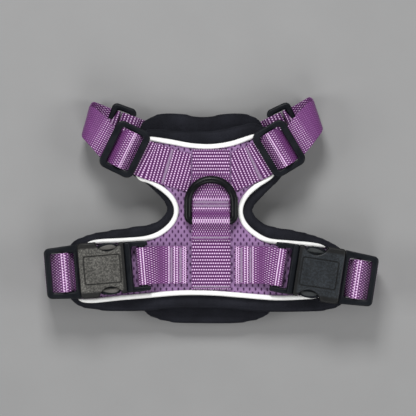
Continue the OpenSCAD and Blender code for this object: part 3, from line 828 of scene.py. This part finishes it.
def cad_outline(node, height):
    """The closed outline of a flat CAD node at a height, in order round it."""
    mesh = bmesh.new()
    mesh.from_mesh(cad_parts[node].data)
    bmesh.ops.remove_doubles(mesh, verts=mesh.verts, dist=WELD)
    top = [f for f in mesh.faces if all(abs(v.co.z / MM - height) < 0.05 for v in f.verts)]
    rim = {}
    for f in top:
        for e in f.edges:
            if sum(g in top for g in e.link_faces) == 1:
                a, b = e.verts
                rim.setdefault(a.index, []).append(b.index)
                rim.setdefault(b.index, []).append(a.index)
    mesh.verts.ensure_lookup_table()
    first = next(iter(rim))
    order, last, here = [first], None, first
    while True:
        following = [i for i in rim[here] if i != last]
        last, here = here, following[0]
        if here == first:
            break
        order.append(here)
    outline = np.array([(mesh.verts[i].co.x, mesh.verts[i].co.y) for i in order]) / MM
    mesh.free()
    return outline


# The air mesh: pitch and half size of its oblong holes, across and down, and their depth
HOLE_PITCH, HOLE_HALF, HOLE_DEPTH = (3.9, 5.4), (0.78, 1.6), 0.55
# Distance between its points, how far it runs under the piping and dips there, and where the dip starts
MESH_STEP, MESH_PAST_EDGE, MESH_DIP_REACH = 0.36, 0.9, 1.6
# The linings: remeshing size, how far they are drawn in before they swell, how near the seam they are
# held, and the most that they swell
VOXEL, TUCK_IN, HELD_WITHIN, MOST_SWELL = 2.0, 0.45, 1.4, 1.3
CLOTH_FRAMES = 20
WELD = 1e-6
# Half width of the mesh that a strap presses down, and the middle of the buckle tabs' strips
PRESSED_HALF, TABS_Y = 13, -38
# A piping's open end: how far it sinks, how much thinner it gets, and over how many points each fades
END_DIP, END_DIP_REACH, END_THINNING, END_THINNING_REACH = 1.2, 3, 0.7, 4.5


def holes(x, y):
    """1 in the middle of the air mesh's oblong holes, 0 between them, in staggered rows."""
    (across, down), (half_x, half_y) = HOLE_PITCH, HOLE_HALF
    found = np.zeros_like(x)
    for shift in (0, 0.5):
        dx = (x / across + shift) % 1 - 0.5
        dy = (y / down + shift) % 1 - 0.5
        found = np.maximum(found, 1 - np.sqrt((dx * across / half_x) ** 2 + (dy * down / half_y) ** 2))
    return np.clip(found * 1.6, 0, 1)


def air_mesh(name, outline, face_z, level, facing, node):
    """The knitted mesh of a panel. level(x, y) is its height over face_z, away from the panel."""
    edge = outwards(outline, MESH_PAST_EDGE)
    low, high = edge.min(0) - MESH_STEP, edge.max(0) + MESH_STEP
    x, y = (np.arange(low[k], high[k], MESH_STEP) for k in (0, 1))
    gx, gy = np.meshgrid(x, y, indexing="ij")
    spots = np.stack([gx.ravel(), gy.ravel()], 1)
    kept = inside(edge, spots).reshape(gx.shape)
    cells = kept[:-1, :-1] & kept[1:, :-1] & kept[1:, 1:] & kept[:-1, 1:]
    quads = grid(len(x), len(y)).reshape(len(x) - 1, len(y) - 1, 4)[cells]
    used, quads = np.unique(quads, return_inverse=True)
    quads = quads.reshape(-1, 4)
    spots = spots[used]
    dip = MESH_PAST_EDGE * np.exp(-distance_to(spaced(outline, 0.8), spots) / MESH_DIP_REACH)
    pit = ease(holes(spots[:, 0], spots[:, 1]))
    z = face_z + facing * (level(spots[:, 0], spots[:, 1]) - dip - HOLE_DEPTH * pit)
    obj = new_mesh(name, np.column_stack([spots, z]), quads if facing < 0 else quads[:, ::-1])
    if obj.data.polygons[0].normal.z * facing < 0:
        obj.data.flip_normals()
    # The colour reads this: painted shade down in the holes.
    set_lift(obj, 1 - pit)
    dress(obj, "air_mesh", "harness", [node])


def swell(obj, start, seam):
    """Blows a lining up from its starting points with Cloth, while its seam line is held."""
    held = distance_to(seam * MM, start[:, :2]) < HELD_WITHIN * MM
    group = obj.vertex_groups.new(name="held")
    group.add([int(i) for i in np.flatnonzero(held)], 1.0, "REPLACE")
    cloth = obj.modifiers.new("cloth", "CLOTH")
    cloth.settings.quality = 4
    cloth.settings.mass = 0.2
    cloth.settings.use_pressure = True
    cloth.settings.uniform_pressure_force = 4
    cloth.settings.vertex_group_mass = "held"
    cloth.settings.effector_weights.gravity = 0
    cloth.collision_settings.use_collision = False
    cloth.point_cache.frame_start, cloth.point_cache.frame_end = 1, CLOTH_FRAMES
    for number in range(1, CLOTH_FRAMES + 1):
        bpy.context.scene.frame_set(number)
    apply_modifiers(obj)
    bpy.context.scene.frame_set(1)
    obj.vertex_groups.clear()


def padded_panel(name, node, seam):
    """A padded lining: the CAD solid remeshed, blown up a little inside its seam line, and subdivided."""
    obj = bpy.data.objects.new(name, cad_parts[node].data.copy())
    bpy.context.scene.collection.objects.link(obj)
    with editing(obj) as mesh:
        bmesh.ops.remove_doubles(mesh, verts=mesh.verts, dist=WELD)
    remesh = obj.modifiers.new("remesh", "REMESH")
    remesh.mode = "VOXEL"
    remesh.voxel_size = VOXEL * MM
    apply_modifiers(obj)
    start = points_of(obj) - np.array([v.normal for v in obj.data.vertices]) * TUCK_IN * MM
    set_points(obj, start)
    swell(obj, start, seam)
    moved = points_of(obj) - start
    far = np.linalg.norm(moved, axis=1, keepdims=True)
    set_points(obj, start + moved * np.minimum(1, MOST_SWELL * MM / np.maximum(far, 1e-9)))
    smooth = obj.modifiers.new("smooth", "SMOOTH")
    smooth.iterations = 2
    finer = obj.modifiers.new("finer", "SUBSURF")
    finer.levels = finer.render_levels = 1
    apply_modifiers(obj)
    dress(obj, "lining", "harness", [node])


def piping(outline, radius, z, nodes):
    """The piping along those points of the outline that lie close to the CAD node's. Its open ends dip and
    taper into the seam."""
    line = spaced(outline, 0.7)
    for node in nodes:
        near = distance_to(points_of(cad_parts[node])[:, :2] / MM, line) < radius + 1.2
        name = node.replace("piping", "reflective_piping")
        if near.all():
            path = np.column_stack([line, np.full(len(line), z)])
            obj = tube(name, path, radius, 16, closed=True)
        else:
            order = np.roll(np.arange(len(line)), -int(np.flatnonzero(~near)[0]))
            run = order[near[order]]
            from_end = np.minimum(np.arange(len(run)), np.arange(len(run))[::-1])
            path = np.column_stack([line[run], z - END_DIP * np.exp(-from_end / END_DIP_REACH)])
            thin = END_THINNING * np.exp(-from_end / END_THINNING_REACH)
            obj = tube(name, path, radius * (1 - thin), 16)
        dress(obj, "piping", "harness", [node])


def back_level(x, y):
    """The back mesh is pressed down under the sewn webbing and bulges between."""
    spine = np.exp(-np.clip(np.abs(x) - PRESSED_HALF, 0, None) / 2.5)
    tabs = np.exp(-np.clip(np.abs(y - TABS_Y) - PRESSED_HALF, 0, None) / 2) * (np.abs(x) > PRESSED_HALF)
    return 0.35 - 0.5 * np.maximum(spine, 0.7 * tabs) + 0.22 * np.sin(x / 7.0 + 1) * np.sin(y / 6.0)


def chest_level(x, _):
    return -0.25 * np.exp(-np.clip(np.abs(x - CHEST_MID_X) - PRESSED_HALF, 0, None) / 2.5)


def make_panels():
    back = closed_curve(cad_outline("back_mesh", BACK_FACE_Z), 2)
    chest = closed_curve(cad_outline("chest_mesh", CHEST_FACE_Z), 2)
    back_seam = outwards(back, PIPING_R + 0.1)
    chest_seam = outwards(chest, CHEST_PIPING_R + 0.1)
    padded_panel("back_padding", "back_lining", spaced(back_seam, 1))
    padded_panel("chest_padding", "chest_lining", spaced(chest_seam, 1))
    air_mesh("back_air_mesh", back, BACK_FACE_Z - 0.35, back_level, 1, "back_mesh")
    air_mesh("chest_air_mesh", chest, CHEST_FACE_Z + 0.3, chest_level, -1, "chest_mesh")
    piping(back_seam, PIPING_R, BACK_MESH_Z + PIPING_R,
           ["neck_piping", "left_armhole_piping", "right_armhole_piping", "hem_piping"])
    piping(chest_seam, CHEST_PIPING_R, CHEST_LINING_Z - 1, ["chest_piping"])


# ---- Webbing of the back and the chest ----

RING_BAR_Y, BACK_AXIS_Z, BACK_ROD_R = -6.5, 27.6, 2.3
FRONT_BAR_Y, FRONT_AXIS_Z, FRONT_ROD_R = 18, 3.6, 1.9
RING_EYE_HALF, RING_REACH, RING_CORNER = 12.7, 27.2, 3.5


def make_spine():
    base = flat_path([(-51.3, WEB_Z), (-20, WEB_Z), (9, WEB_Z)])
    whole_strap("spine_base_strap", base, "spine_base_webbing", width=BASE_W)
    r = BACK_ROD_R + 0.5 + WEB_T / 2
    path = flat_path([
        (40.3, WEB_Z), (16, WEB_Z), (12.6, WEB_Z + 0.7), (10, SECOND_WEB_Z), (1.5, SECOND_WEB_Z),
        (-0.8, SECOND_WEB_Z + 0.5), (-2.3, SECOND_WEB_Z + 1.8),
        *arc((RING_BAR_Y, BACK_AXIS_Z), r, 25, 155, 10),
        (-11.3, 27.3), (-13.6, 26), (-16, SECOND_WEB_Z), (-19, SECOND_WEB_Z)])
    tack = path.nearest((0, 4.7, SECOND_WEB_Z))
    crest = path.nearest((0, RING_BAR_Y, BACK_AXIS_Z + r))
    end = path.length - 1.6
    whole_strap("spine_strap", path, "spine_webbing", fine=[(15, path.length)], calm=[(tack + 2, crest - 2)],
                bright=[tack - 3.3, tack + 3.2, crest - 0.7, crest + 0.6],
                flat=[(tack - 2.6, tack + 2.6), (end - 1.2, end + 1.6)])
    for name, d, width in (("upper", tack - 1.2, 2.2), ("middle", tack + 1.2, 2.2), ("lower", end, 1.8)):
        bar_tack(f"spine_stitches_{name}", path, d, width, 11.6)
    bar_tack("hem_stitches", base, 1.6, 1.4, 12)


def make_chest_webbing():
    z = CHEST_FACE_Z - WEB_T / 2
    path = flat_path([(-50, z), (0, z), (42, z)], CHEST_MID_X)
    whole_strap("chest_strap", path, "chest_webbing", width=BASE_W)
    for k, d in enumerate((2.5, path.length - 2.5)):
        bar_tack(f"chest_stitches_{k + 1}", path, d, 2, 12, up=-1)
    sewn_z = CHEST_FACE_Z - 1.5 * WEB_T
    y = FRONT_BAR_Y
    loop = flat_path([(y - 12, sewn_z), (y - 6.5, sewn_z), (y - 4.6, sewn_z - 0.6),
                      *arc((y, FRONT_AXIS_Z), FRONT_AXIS_Z - WEB_T / 2, 205, 335, 10),
                      (y + 4.6, sewn_z - 0.6), (y + 6.5, sewn_z), (y + 12, sewn_z)], CHEST_MID_X)
    whole_strap("front_ring_strap", loop, "front_ring_loop", fine=[(6, loop.length - 6)])
    for k, d in enumerate((2.4, loop.length - 2.4)):
        bar_tack(f"front_ring_stitches_{k + 1}", loop, d, 2, up=-1)


def leash_ring(end, rod_r, centre, y_way):
    """A welded D: straight bar along X, curve towards +Y, or -Y when y_way is -1."""
    corner, reach = RING_CORNER, RING_REACH
    half = RING_EYE_HALF + rod_r
    straight = half - corner
    path = [*[(x, 0) for x in np.linspace(-straight, straight, 12)],
            *arc((straight, corner), corner, -90, 0, 8)[1:],
            *arc((0, reach - half), half, 0, 180, 40),
            *arc((-straight, corner), corner, 180, 270, 8)[:-1]]
    obj = tube(f"{end}_leash_ring", [(x, y * y_way, 0) for x, y in path], rod_r, 24, closed=True)
    put(obj, Matrix.Translation(Vector(centre) * MM))
    dress(obj, "ring", f"{end}_ring", [f"{end}_ring"])


# ---- Shoulders ----

def shoulder_path(side):
    """The strap's path, with the distances of its marks: slider bar, outer fold, ring bar, inner fold."""
    slider, slider_turn, link, link_turn, sewn, outer, inner = SHOULDER[side]
    sewn = np.array(sewn, float)

    def at_slide(s, h):
        return (*(np.array(slider) + s * turn(180 - slider_turn)), SLIDER_Z + h, 90 - slider_turn)

    def at_loop(s, h):
        return (*(np.array(link) + s * turn(-link_turn)), LINK_Z + h, 90 - link_turn)

    run = np.linalg.norm(np.array(at_slide(-17, 0)[:2]) - sewn)
    lie_to = (np.array(at_slide(-17, 0)[:2]) - sewn) / run
    lie = np.degrees(np.arctan2(-lie_to[0], lie_to[1]))
    panel = [(*(sewn + s * lie_to), WEB_Z + h, lie) for s, h in ((-7, 0), (0, 0), (11, 0), (run - 3, 1.4))]
    wave = [at_slide(*q) for q in ((-16, -2.8), (-12.5, -2.65), (-8.5, -2.6), (-6.6, -2.3), (-5.2, -0.4))]
    over = [at_slide(*q) for q in arc((0, 0), OUTER_LAYER_R, 150, 30, 8)]
    out = [at_slide(*q) for q in ((5.2, -0.4), (6.6, -2.3), (8.5, -2.6))]
    loop = [at_loop(s * LOOP_SLACK if s > 0 else s, h)
            for s, h in arc((0, 0), LINK_BAR_R + SLACK + WEB_T / 2, -50, 95, 9)]
    tuck = [at_slide(*q) for q in ((9, -4.3), (6.5, -4), (3.6, -3.1))]
    tuck += [at_slide(*q) for q in arc((0, 0), INNER_LAYER_R, -80, -290, 12)]
    outer, inner = open_curve(outer, 2), open_curve(inner, 2)
    route = panel + wave + over + out + outer + loop + inner + tuck
    flip = -1 if side == "right" else 1
    centres = [(flip * q[0], q[1], q[2]) for q in route]
    across = [(flip * turn(q[3])[0], turn(q[3])[1], 0) for q in route]
    path = Path(centres, across, 0.6)
    marks = path.marks
    a = len(panel) + len(wave)
    b = a + len(over) + len(out)
    c = b + len(outer)
    e = c + len(loop)
    return path, dict(
        sewn=marks[1], slack=marks[3], bar=marks[a + 4], out=marks[b - 1], outer_fold=marks[b + 8],
        link=marks[c + 5], inner_fold=marks[e + 4], end=path.length,
        slope=float(lie_to[1] / lie_to[0]))


def make_shoulder(side):
    path, at = shoulder_path(side)
    slider, ring = f"{side}_slider", f"{side}_square_ring"
    bar, fold, link, inner, end = at["bar"], at["outer_fold"], at["link"], at["inner_fold"], at["end"]
    tack = at["sewn"] + 16
    style = dict(
        fine=[(at["slack"] + 8, link - 3), (inner + 14, end + 2)],
        calm=[(bar + 1, bar + 14), (bar + 22, fold + 12)],
        bright=[bar - 2.6, bar - 1.3],
        narrow=[(fold - 9, fold + 9, 8, 1.5, 1.5), (bar + 3, fold + 7, 10, 0, 3.2),
                (link + 0.8, end + 9, 2.6, 0, 7), (bar - 9, bar + 9, 4, -0.35, -0.35)])
    sewn_style = dict(flat=[(tack - 1.5, tack + 1.5)], skew=-at["slope"])
    # Name, start and end of each length, the two bodies at its ends and a stretch between them along the path
    spans = [
        ("panel", at["sewn"], bar, "harness", slider, at["slack"] - 4, at["slack"] + 7),
        ("front", bar, fold, slider, "harness", at["out"] + 3, fold - 5),
        ("lower", fold, link, "harness", ring, link - 9, link - 1.5),
        ("return", link, inner, ring, "harness", link + 4, inner - 3),
        ("tucked", inner, end, "harness", slider, inner + 3, end - 14),
    ]
    for name, start, stop, a, b, low, high in spans:
        own = sewn_style if name == "panel" else {}
        obj = webbing(f"{side}_shoulder_{name}", path, start, stop, **style, **own)
        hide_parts(f"{side}_shoulder_strap")
        blend(obj, path, low, high)
    bar_tack(f"{side}_shoulder_stitches", path, tack, 2.3, 11.6)


def shoulder_matrix(side, which):
    """Places what is drawn on the left shoulder's slider or ring."""
    slider, slider_turn, link, link_turn = SHOULDER[side][:4]
    if which == "slider":
        place, angle = (*slider, SLIDER_Z), 180 - slider_turn
    else:
        place, angle = (*link, LINK_Z), -link_turn
    matrix = Matrix.Translation(Vector(place) * MM) @ Matrix.Rotation(radians(angle), 4, "Z")
    if side == "right":
        matrix = Matrix.Scale(-1, 4, (1, 0, 0)) @ matrix
    return matrix


def cross_bar(u, z, reach, radius, sides=20):
    """A round bar across a fitting, at (u, z) in its own axes."""
    return tube("bar", [(u, v, z) for v in np.linspace(-reach, reach, 9)], radius, sides)


def make_slider(side):
    l, w = SLIDER_L / 2, SLIDER_W / 2
    window = rounded((-l + 4.6, -w + 4), (l - 4.6, w - 4), 1.6)
    body = plate("slider", [rounded((-l, -w), (l, w), 5, 10), window], -1.7, 1.6, 1.1, 5)
    obj = joined(f"{side}_slider_frame", [body, cross_bar(0, 0, w - 2, SLIDER_BAR_R, 16)])
    put(obj, shoulder_matrix(side, "slider"))
    dress(obj, "black", f"{side}_slider", [f"{side}_slider"], smooth=False)


def make_square_ring(side):
    v = 16.9
    outside = rounded((-2, -v), (LINK_PITCH + 2, v), 3.6, 8)
    window = rounded((2, -v + 4.2), (LINK_PITCH - 2, v - 4.2), 1.2)
    obj = plate(f"{side}_square_link", [outside, window], -1.75, 1.75, 1.5, 6)
    put(obj, shoulder_matrix(side, "link"))
    dress(obj, "black", f"{side}_square_ring", [f"{side}_square_ring"], smooth=False)


def make_ring_tab(side):
    r = LINK_BAR_R + SLACK + WEB_T / 2
    low_z = CHEST_FACE_Z - 1.5 * WEB_T - SLACK - LINK_Z
    high_z = CHEST_FACE_Z - WEB_T / 2 - 0.05 - LINK_Z
    reach = 4
    profile = [(24, low_z), (9, low_z), (4.5, low_z + 0.6), (0, -r), *arc((-reach, 0), r, -90, -270, 12),
               (0, r + 0.1), (3, 2), (5.6, -0.7), (7.8, high_z + 0.2), (10.5, high_z), (24, high_z)]
    path = placed_path(shoulder_matrix(side, "link"), [(LINK_PITCH + s, h) for s, h in profile], 0.5)
    whole_strap(f"{side}_link_tab", path, f"{side}_ring_tab")
    bar_tack(f"{side}_link_tab_stitches", path, 3, 2, up=-1)


# ---- Buckles ----

def buckle_matrix(side):
    place, angle = BUCKLE[side]
    return Matrix.Translation(Vector((*place, 0)) * MM) @ Matrix.Rotation(radians(angle), 4, "Z")


def make_buckle_tab(side):
    r = MALE_BAR_R + SLACK + WEB_T / 2
    profile = [(TAB_END_U, WEB_Z), (-34, WEB_Z), (-26, WEB_Z), (-22, WEB_Z), (-18, WEB_Z + 0.5),
               *arc((MALE_BAR_U, MALE_BAR_Z), r, -100, 100, 12),
               (-18, 30.2), (-21.5, 27.8), (-25, 26.2), (-29, SECOND_WEB_Z), (-35, SECOND_WEB_Z),
               (TAB_END_U, SECOND_WEB_Z)]
    place, angle = BUCKLE[side]
    level = 180 if side == "left" else 0
    knee = np.array(place) + TAB_BEND_U * turn(angle)
    centres, across = [], []
    for u, z in profile:
        share = min(1, max(0, (u - TAB_BEND_U + 4) / 8))
        away = u - TAB_BEND_U
        centre = knee + away * turn(angle if away > 0 else level)
        centres.append((*centre, z))
        across.append((*turn(level + (angle - level) * share + 90), 0))
    path = Path(centres, across, 0.6)
    end = path.length
    tacks = [(end - 4.3, 2.3), (end - 10.2, 1.8)]
    crest = path.nearest((*(knee + (MALE_BAR_U - TAB_BEND_U) * turn(angle)), MALE_BAR_Z + r))
    whole_strap(f"{side}_buckle_strap", path, f"{side}_buckle_tab",
                fine=[(14, end + 3)], calm=[(crest + 8, end - 13)],
                bright=[crest - 0.85, crest + 0.8, end - 11.8, end - 8.2, end - 6.4, end - 2.4, end - 0.9],
                flat=[(d - w / 2 - 0.3, d + w / 2 + 0.3) for d, w in tacks])
    for k, (d, w) in enumerate(tacks):
        bar_tack(f"{side}_buckle_stitches_{k + 1}", path, d, w)


def make_girth_strap(side):
    """The strap from under the chest panel, up round its bend and over the socket's ladder bar."""
    half = WEB_T / 2
    sewn_z = CHEST_FACE_Z - half
    r = LADDER_BAR_R + SLACK + half
    matrix = buckle_matrix(side)
    path = placed_path(matrix, [
        (GIRTH_INNER_U[side], sewn_z), (-17, sewn_z),
        *open_curve([(-13.5, sewn_z - 0.2), (-8, sewn_z - 1.8), (-3, 2.4), (2, 1), (7, half + 0.05)], 3),
        (12, half), (36, half),
        *open_curve([(40, half + 0.1), (45, 1.7), (49.6, 5.2), (52.2, 10), (52.6, 15.2), (51, 20.5),
                     (47.8, 24.8), (45.4, 27.8)], 3),
        *arc((LADDER_BAR_U, LADDER_Z), r + 0.9, 20, 160, 10),
        *open_curve([(35.9, 27.6), (34.6, 25.4), (32, 24.5), (27, 24.5), (16, 24.5)], 3)], 0.6)
    low, split, bar = (path.nearest(placed(matrix, u, z))
                       for u, z in ((8, half), (38, half), (LADDER_BAR_U, LADDER_Z + r)))
    floor_run = webbing(f"{side}_girth_strap_floor", path, 0, split)
    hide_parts(f"{side}_girth_strap")
    blend(floor_run, path, low, split - 1)
    rise = webbing(f"{side}_girth_strap_rise", path, split, path.length, fine=[(bar - 26, bar + 16)],
                   bright=[bar - 0.85, bar + 0.8], narrow=[(bar - 14, bar + 9, 4, -0.5, -0.5)], coarse=1.14)
    dress(rise, "webbing", f"{side}_socket", [f"{side}_girth_strap"], smooth=False)
    bar_tack(f"{side}_girth_stitches", path, 3, 2, up=-1)


def dress_moulding(obj, side, finish, body, node):
    """Places and dresses a moulded piece drawn in its buckle's own axes."""
    obj.matrix_world = buckle_matrix(side)
    dress(obj, finish, body, [node], smooth=False)


def make_male(side):
    w = FRAME_W / 2
    arm = 3.4
    half = [*arc((-1.1, w - 1), 1, 0, 90, 4), (-9, w), *arc((-14.6, w - 1.6), 1.2, 90, 180, 4),
            (-15.8, w - arm + 0.5), (-15.2, w - arm), *arc((-6.2, w - arm - 1.5), 1.5, 90, 0, 4)]
    outline = dense(half + [(u, -v) for u, v in half[::-1]], 0.9)
    arms = plate("arms", [outline], MALE_BAR_Z - 2.2, MALE_BAR_Z + 2.6, 1.0)
    shoulder = plate("shoulder", [rounded((-4.4, -w), (-0.1, w), 1.4)], MALE_BAR_Z - 2.1, 33.2, 1.3)
    bar = cross_bar(MALE_BAR_U, MALE_BAR_Z, w - 3.2, MALE_BAR_R)
    guide = plate("guide", [rounded((-1, -3), (17, 3), 1.2)], BUCKLE_Z - 1.4, BUCKLE_Z + 1.4, 0.6)
    plug = joined(f"{side}_buckle_plug", [arms, shoulder, bar, guide])
    dress_moulding(plug, side, "black", "harness", f"{side}_buckle_male")


def dense(outline, step):
    """An outline with extra points on its long sides, so that its rounded edge keeps its width."""
    points = []
    outline = np.array(outline, float)
    for a, b in zip(outline, np.roll(outline, -1, 0)):
        n = max(1, int(np.linalg.norm(b - a) / step))
        points += [a + (b - a) * k / n for k in range(n)]
    return np.array(points)


def make_prong(side, s, body):
    """A release prong and its rubbed pad, towards +V of the buckle for s 1 and -V for s -1."""
    shape = [(-2.2, 8.9), (6, 8.6), (14, 8.2), (18.6, 8.0), (20.4, 8.8), (20.4, 11.4), (19, 14), (16.2, 16.2),
             (12, 17), (8, 16.9), (5, 16.2), (3.4, 15), (3.2, 12), (0, 11.2), (-2.2, 11)]
    pad_line = [(4.4, 13.4), (8, 12.7), (12, 12.6), (16, 12.9), (17.2, 13.3), (14, 15.0), (10, 15.8),
                (6.6, 15.5)]
    outline = dense([(u, s * v) for u, v in shape], 1.2)
    pad_outline = closed_curve([(u, s * v) for u, v in pad_line], 4)
    arm = plate("arm", [outline], BUCKLE_Z - 2.2, BUCKLE_Z + 2.2, 0.5, 3)
    root = tube("root", [(-2.2, s * 10, BUCKLE_Z + z) for z in np.linspace(-1.4, 1.4, 4)], 1.5, 16)
    pad = plate(f"{body}_pad", [pad_outline], BUCKLE_Z + 1.2, BUCKLE_Z + 2.55, 0.5, 3)
    dress_moulding(joined(f"{body}_arm", [arm, root]), side, "black", body, body)
    dress_moulding(pad, side, "pad" if side == "left" else "right_pad", body, body)


def bitten_body():
    """Outline of the socket's body with the round bites for the release pads."""
    reach, bite_u, bite_v, r = BODY_W / 2, 10.3, 20, 8.2
    mouth = reach - 1.4
    half = np.degrees(np.arcsin((bite_v - reach) / r))
    first = np.degrees(np.arcsin((bite_v - mouth) / r))
    bottom = arc((bite_u, -bite_v), r, 180 - first, half, 22)
    top = arc((bite_u, bite_v), r, -half, first - 180, 22)
    c = 2.2
    end = BODY_L - 0.9
    return dense([(-4, -mouth), *bottom, *arc((end - c, -reach + c), c, 270, 360, 5),
                  *arc((end - c, reach - c), c, 0, 90, 5), *top, (-4, mouth)], 1.0)


def make_socket_body(side):
    low, high = BUCKLE_Z - BODY_T / 2, BUCKLE_Z + BODY_T / 2
    body = plate("body", [bitten_body()], low, high, 1.3, 5)
    cavity = plate("cavity", [rounded((-3, -16), (23, 16), 0.5)], BUCKLE_Z - 2.6, BUCKLE_Z + 2.6, 0.3, 2)
    recess = plate("recess", [rounded((2.4, -9.7), (27.2, 9.7), 1.8)], high - 0.6, high + 2, 0.15, 2)
    beyond = plate("beyond", [rounded((-9, -25), (0, 25), 0.6)], low - 3, high + 3, 0.1, 1)
    cut(body, cavity, recess, beyond)
    panel = plate("panel", [rounded((3.4, -8.7), (26.2, 8.7), 1.3)], high - 1, high - 0.12, 0.25, 3)
    body = joined(f"{side}_socket_body", [body, panel])
    dress_moulding(body, side, f"{side}_body", f"{side}_socket", f"{side}_buckle_socket")


def make_socket_frame(side):
    """The frame at the socket's end, with the ladder bar that the girth strap goes round."""
    w, root, c = FRAME_W / 2, FRAME_ROOT_W / 2, 3.4
    outside = [(BODY_L - 1, -root), *arc((SOCKET_L - c, -w + c), c, 270, 360, 8),
               *arc((SOCKET_L - c, w - c), c, 0, 90, 8), (BODY_L - 1, root)]
    window = rounded((BODY_L + 2, -13), (48.3, 13), 1.6)
    bezel = plate("bezel", [outside, window], LADDER_Z - FRAME_T / 2, LADDER_Z + FRAME_T / 2, 1.2, 5)
    bar = cross_bar(LADDER_BAR_U, LADDER_Z, w - 2, LADDER_BAR_R)
    neck = plate("neck", [rounded((BODY_L - 3, -15), (BODY_L + 1, 15), 0.5)],
                 LADDER_Z - 1.6, LADDER_Z + 1.2, 0.4, 3)
    ridge = plate("ridge", [rounded((BODY_L + 0.2, -15), (BODY_L + 0.9, 15), 0.3)],
                  LADDER_Z, LADDER_Z + FRAME_T / 2 + 0.35, 0.3, 3)
    ladder = joined(f"{side}_socket_frame", [bezel, bar, neck, ridge])
    dress_moulding(ladder, side, "black", f"{side}_socket", f"{side}_buckle_socket")


# ---- The whole harness ----

make_camera()
make_stage()
make_finishes()
make_panels()
make_spine()
make_chest_webbing()
leash_ring("back", BACK_ROD_R + 0.2, (0, RING_BAR_Y, BACK_AXIS_Z), 1)
leash_ring("front", FRONT_ROD_R, (CHEST_MID_X, FRONT_BAR_Y, FRONT_AXIS_Z), -1)
for side in SIDES:
    make_shoulder(side)
    make_slider(side)
    make_square_ring(side)
    make_ring_tab(side)
    make_buckle_tab(side)
    make_girth_strap(side)
    make_male(side)
    make_socket_body(side)
    make_socket_frame(side)
for side, upper in (("left", -1), ("right", 1)):
    make_prong(side, upper, f"{side}_upper_prong")
    make_prong(side, -upper, f"{side}_lower_prong")
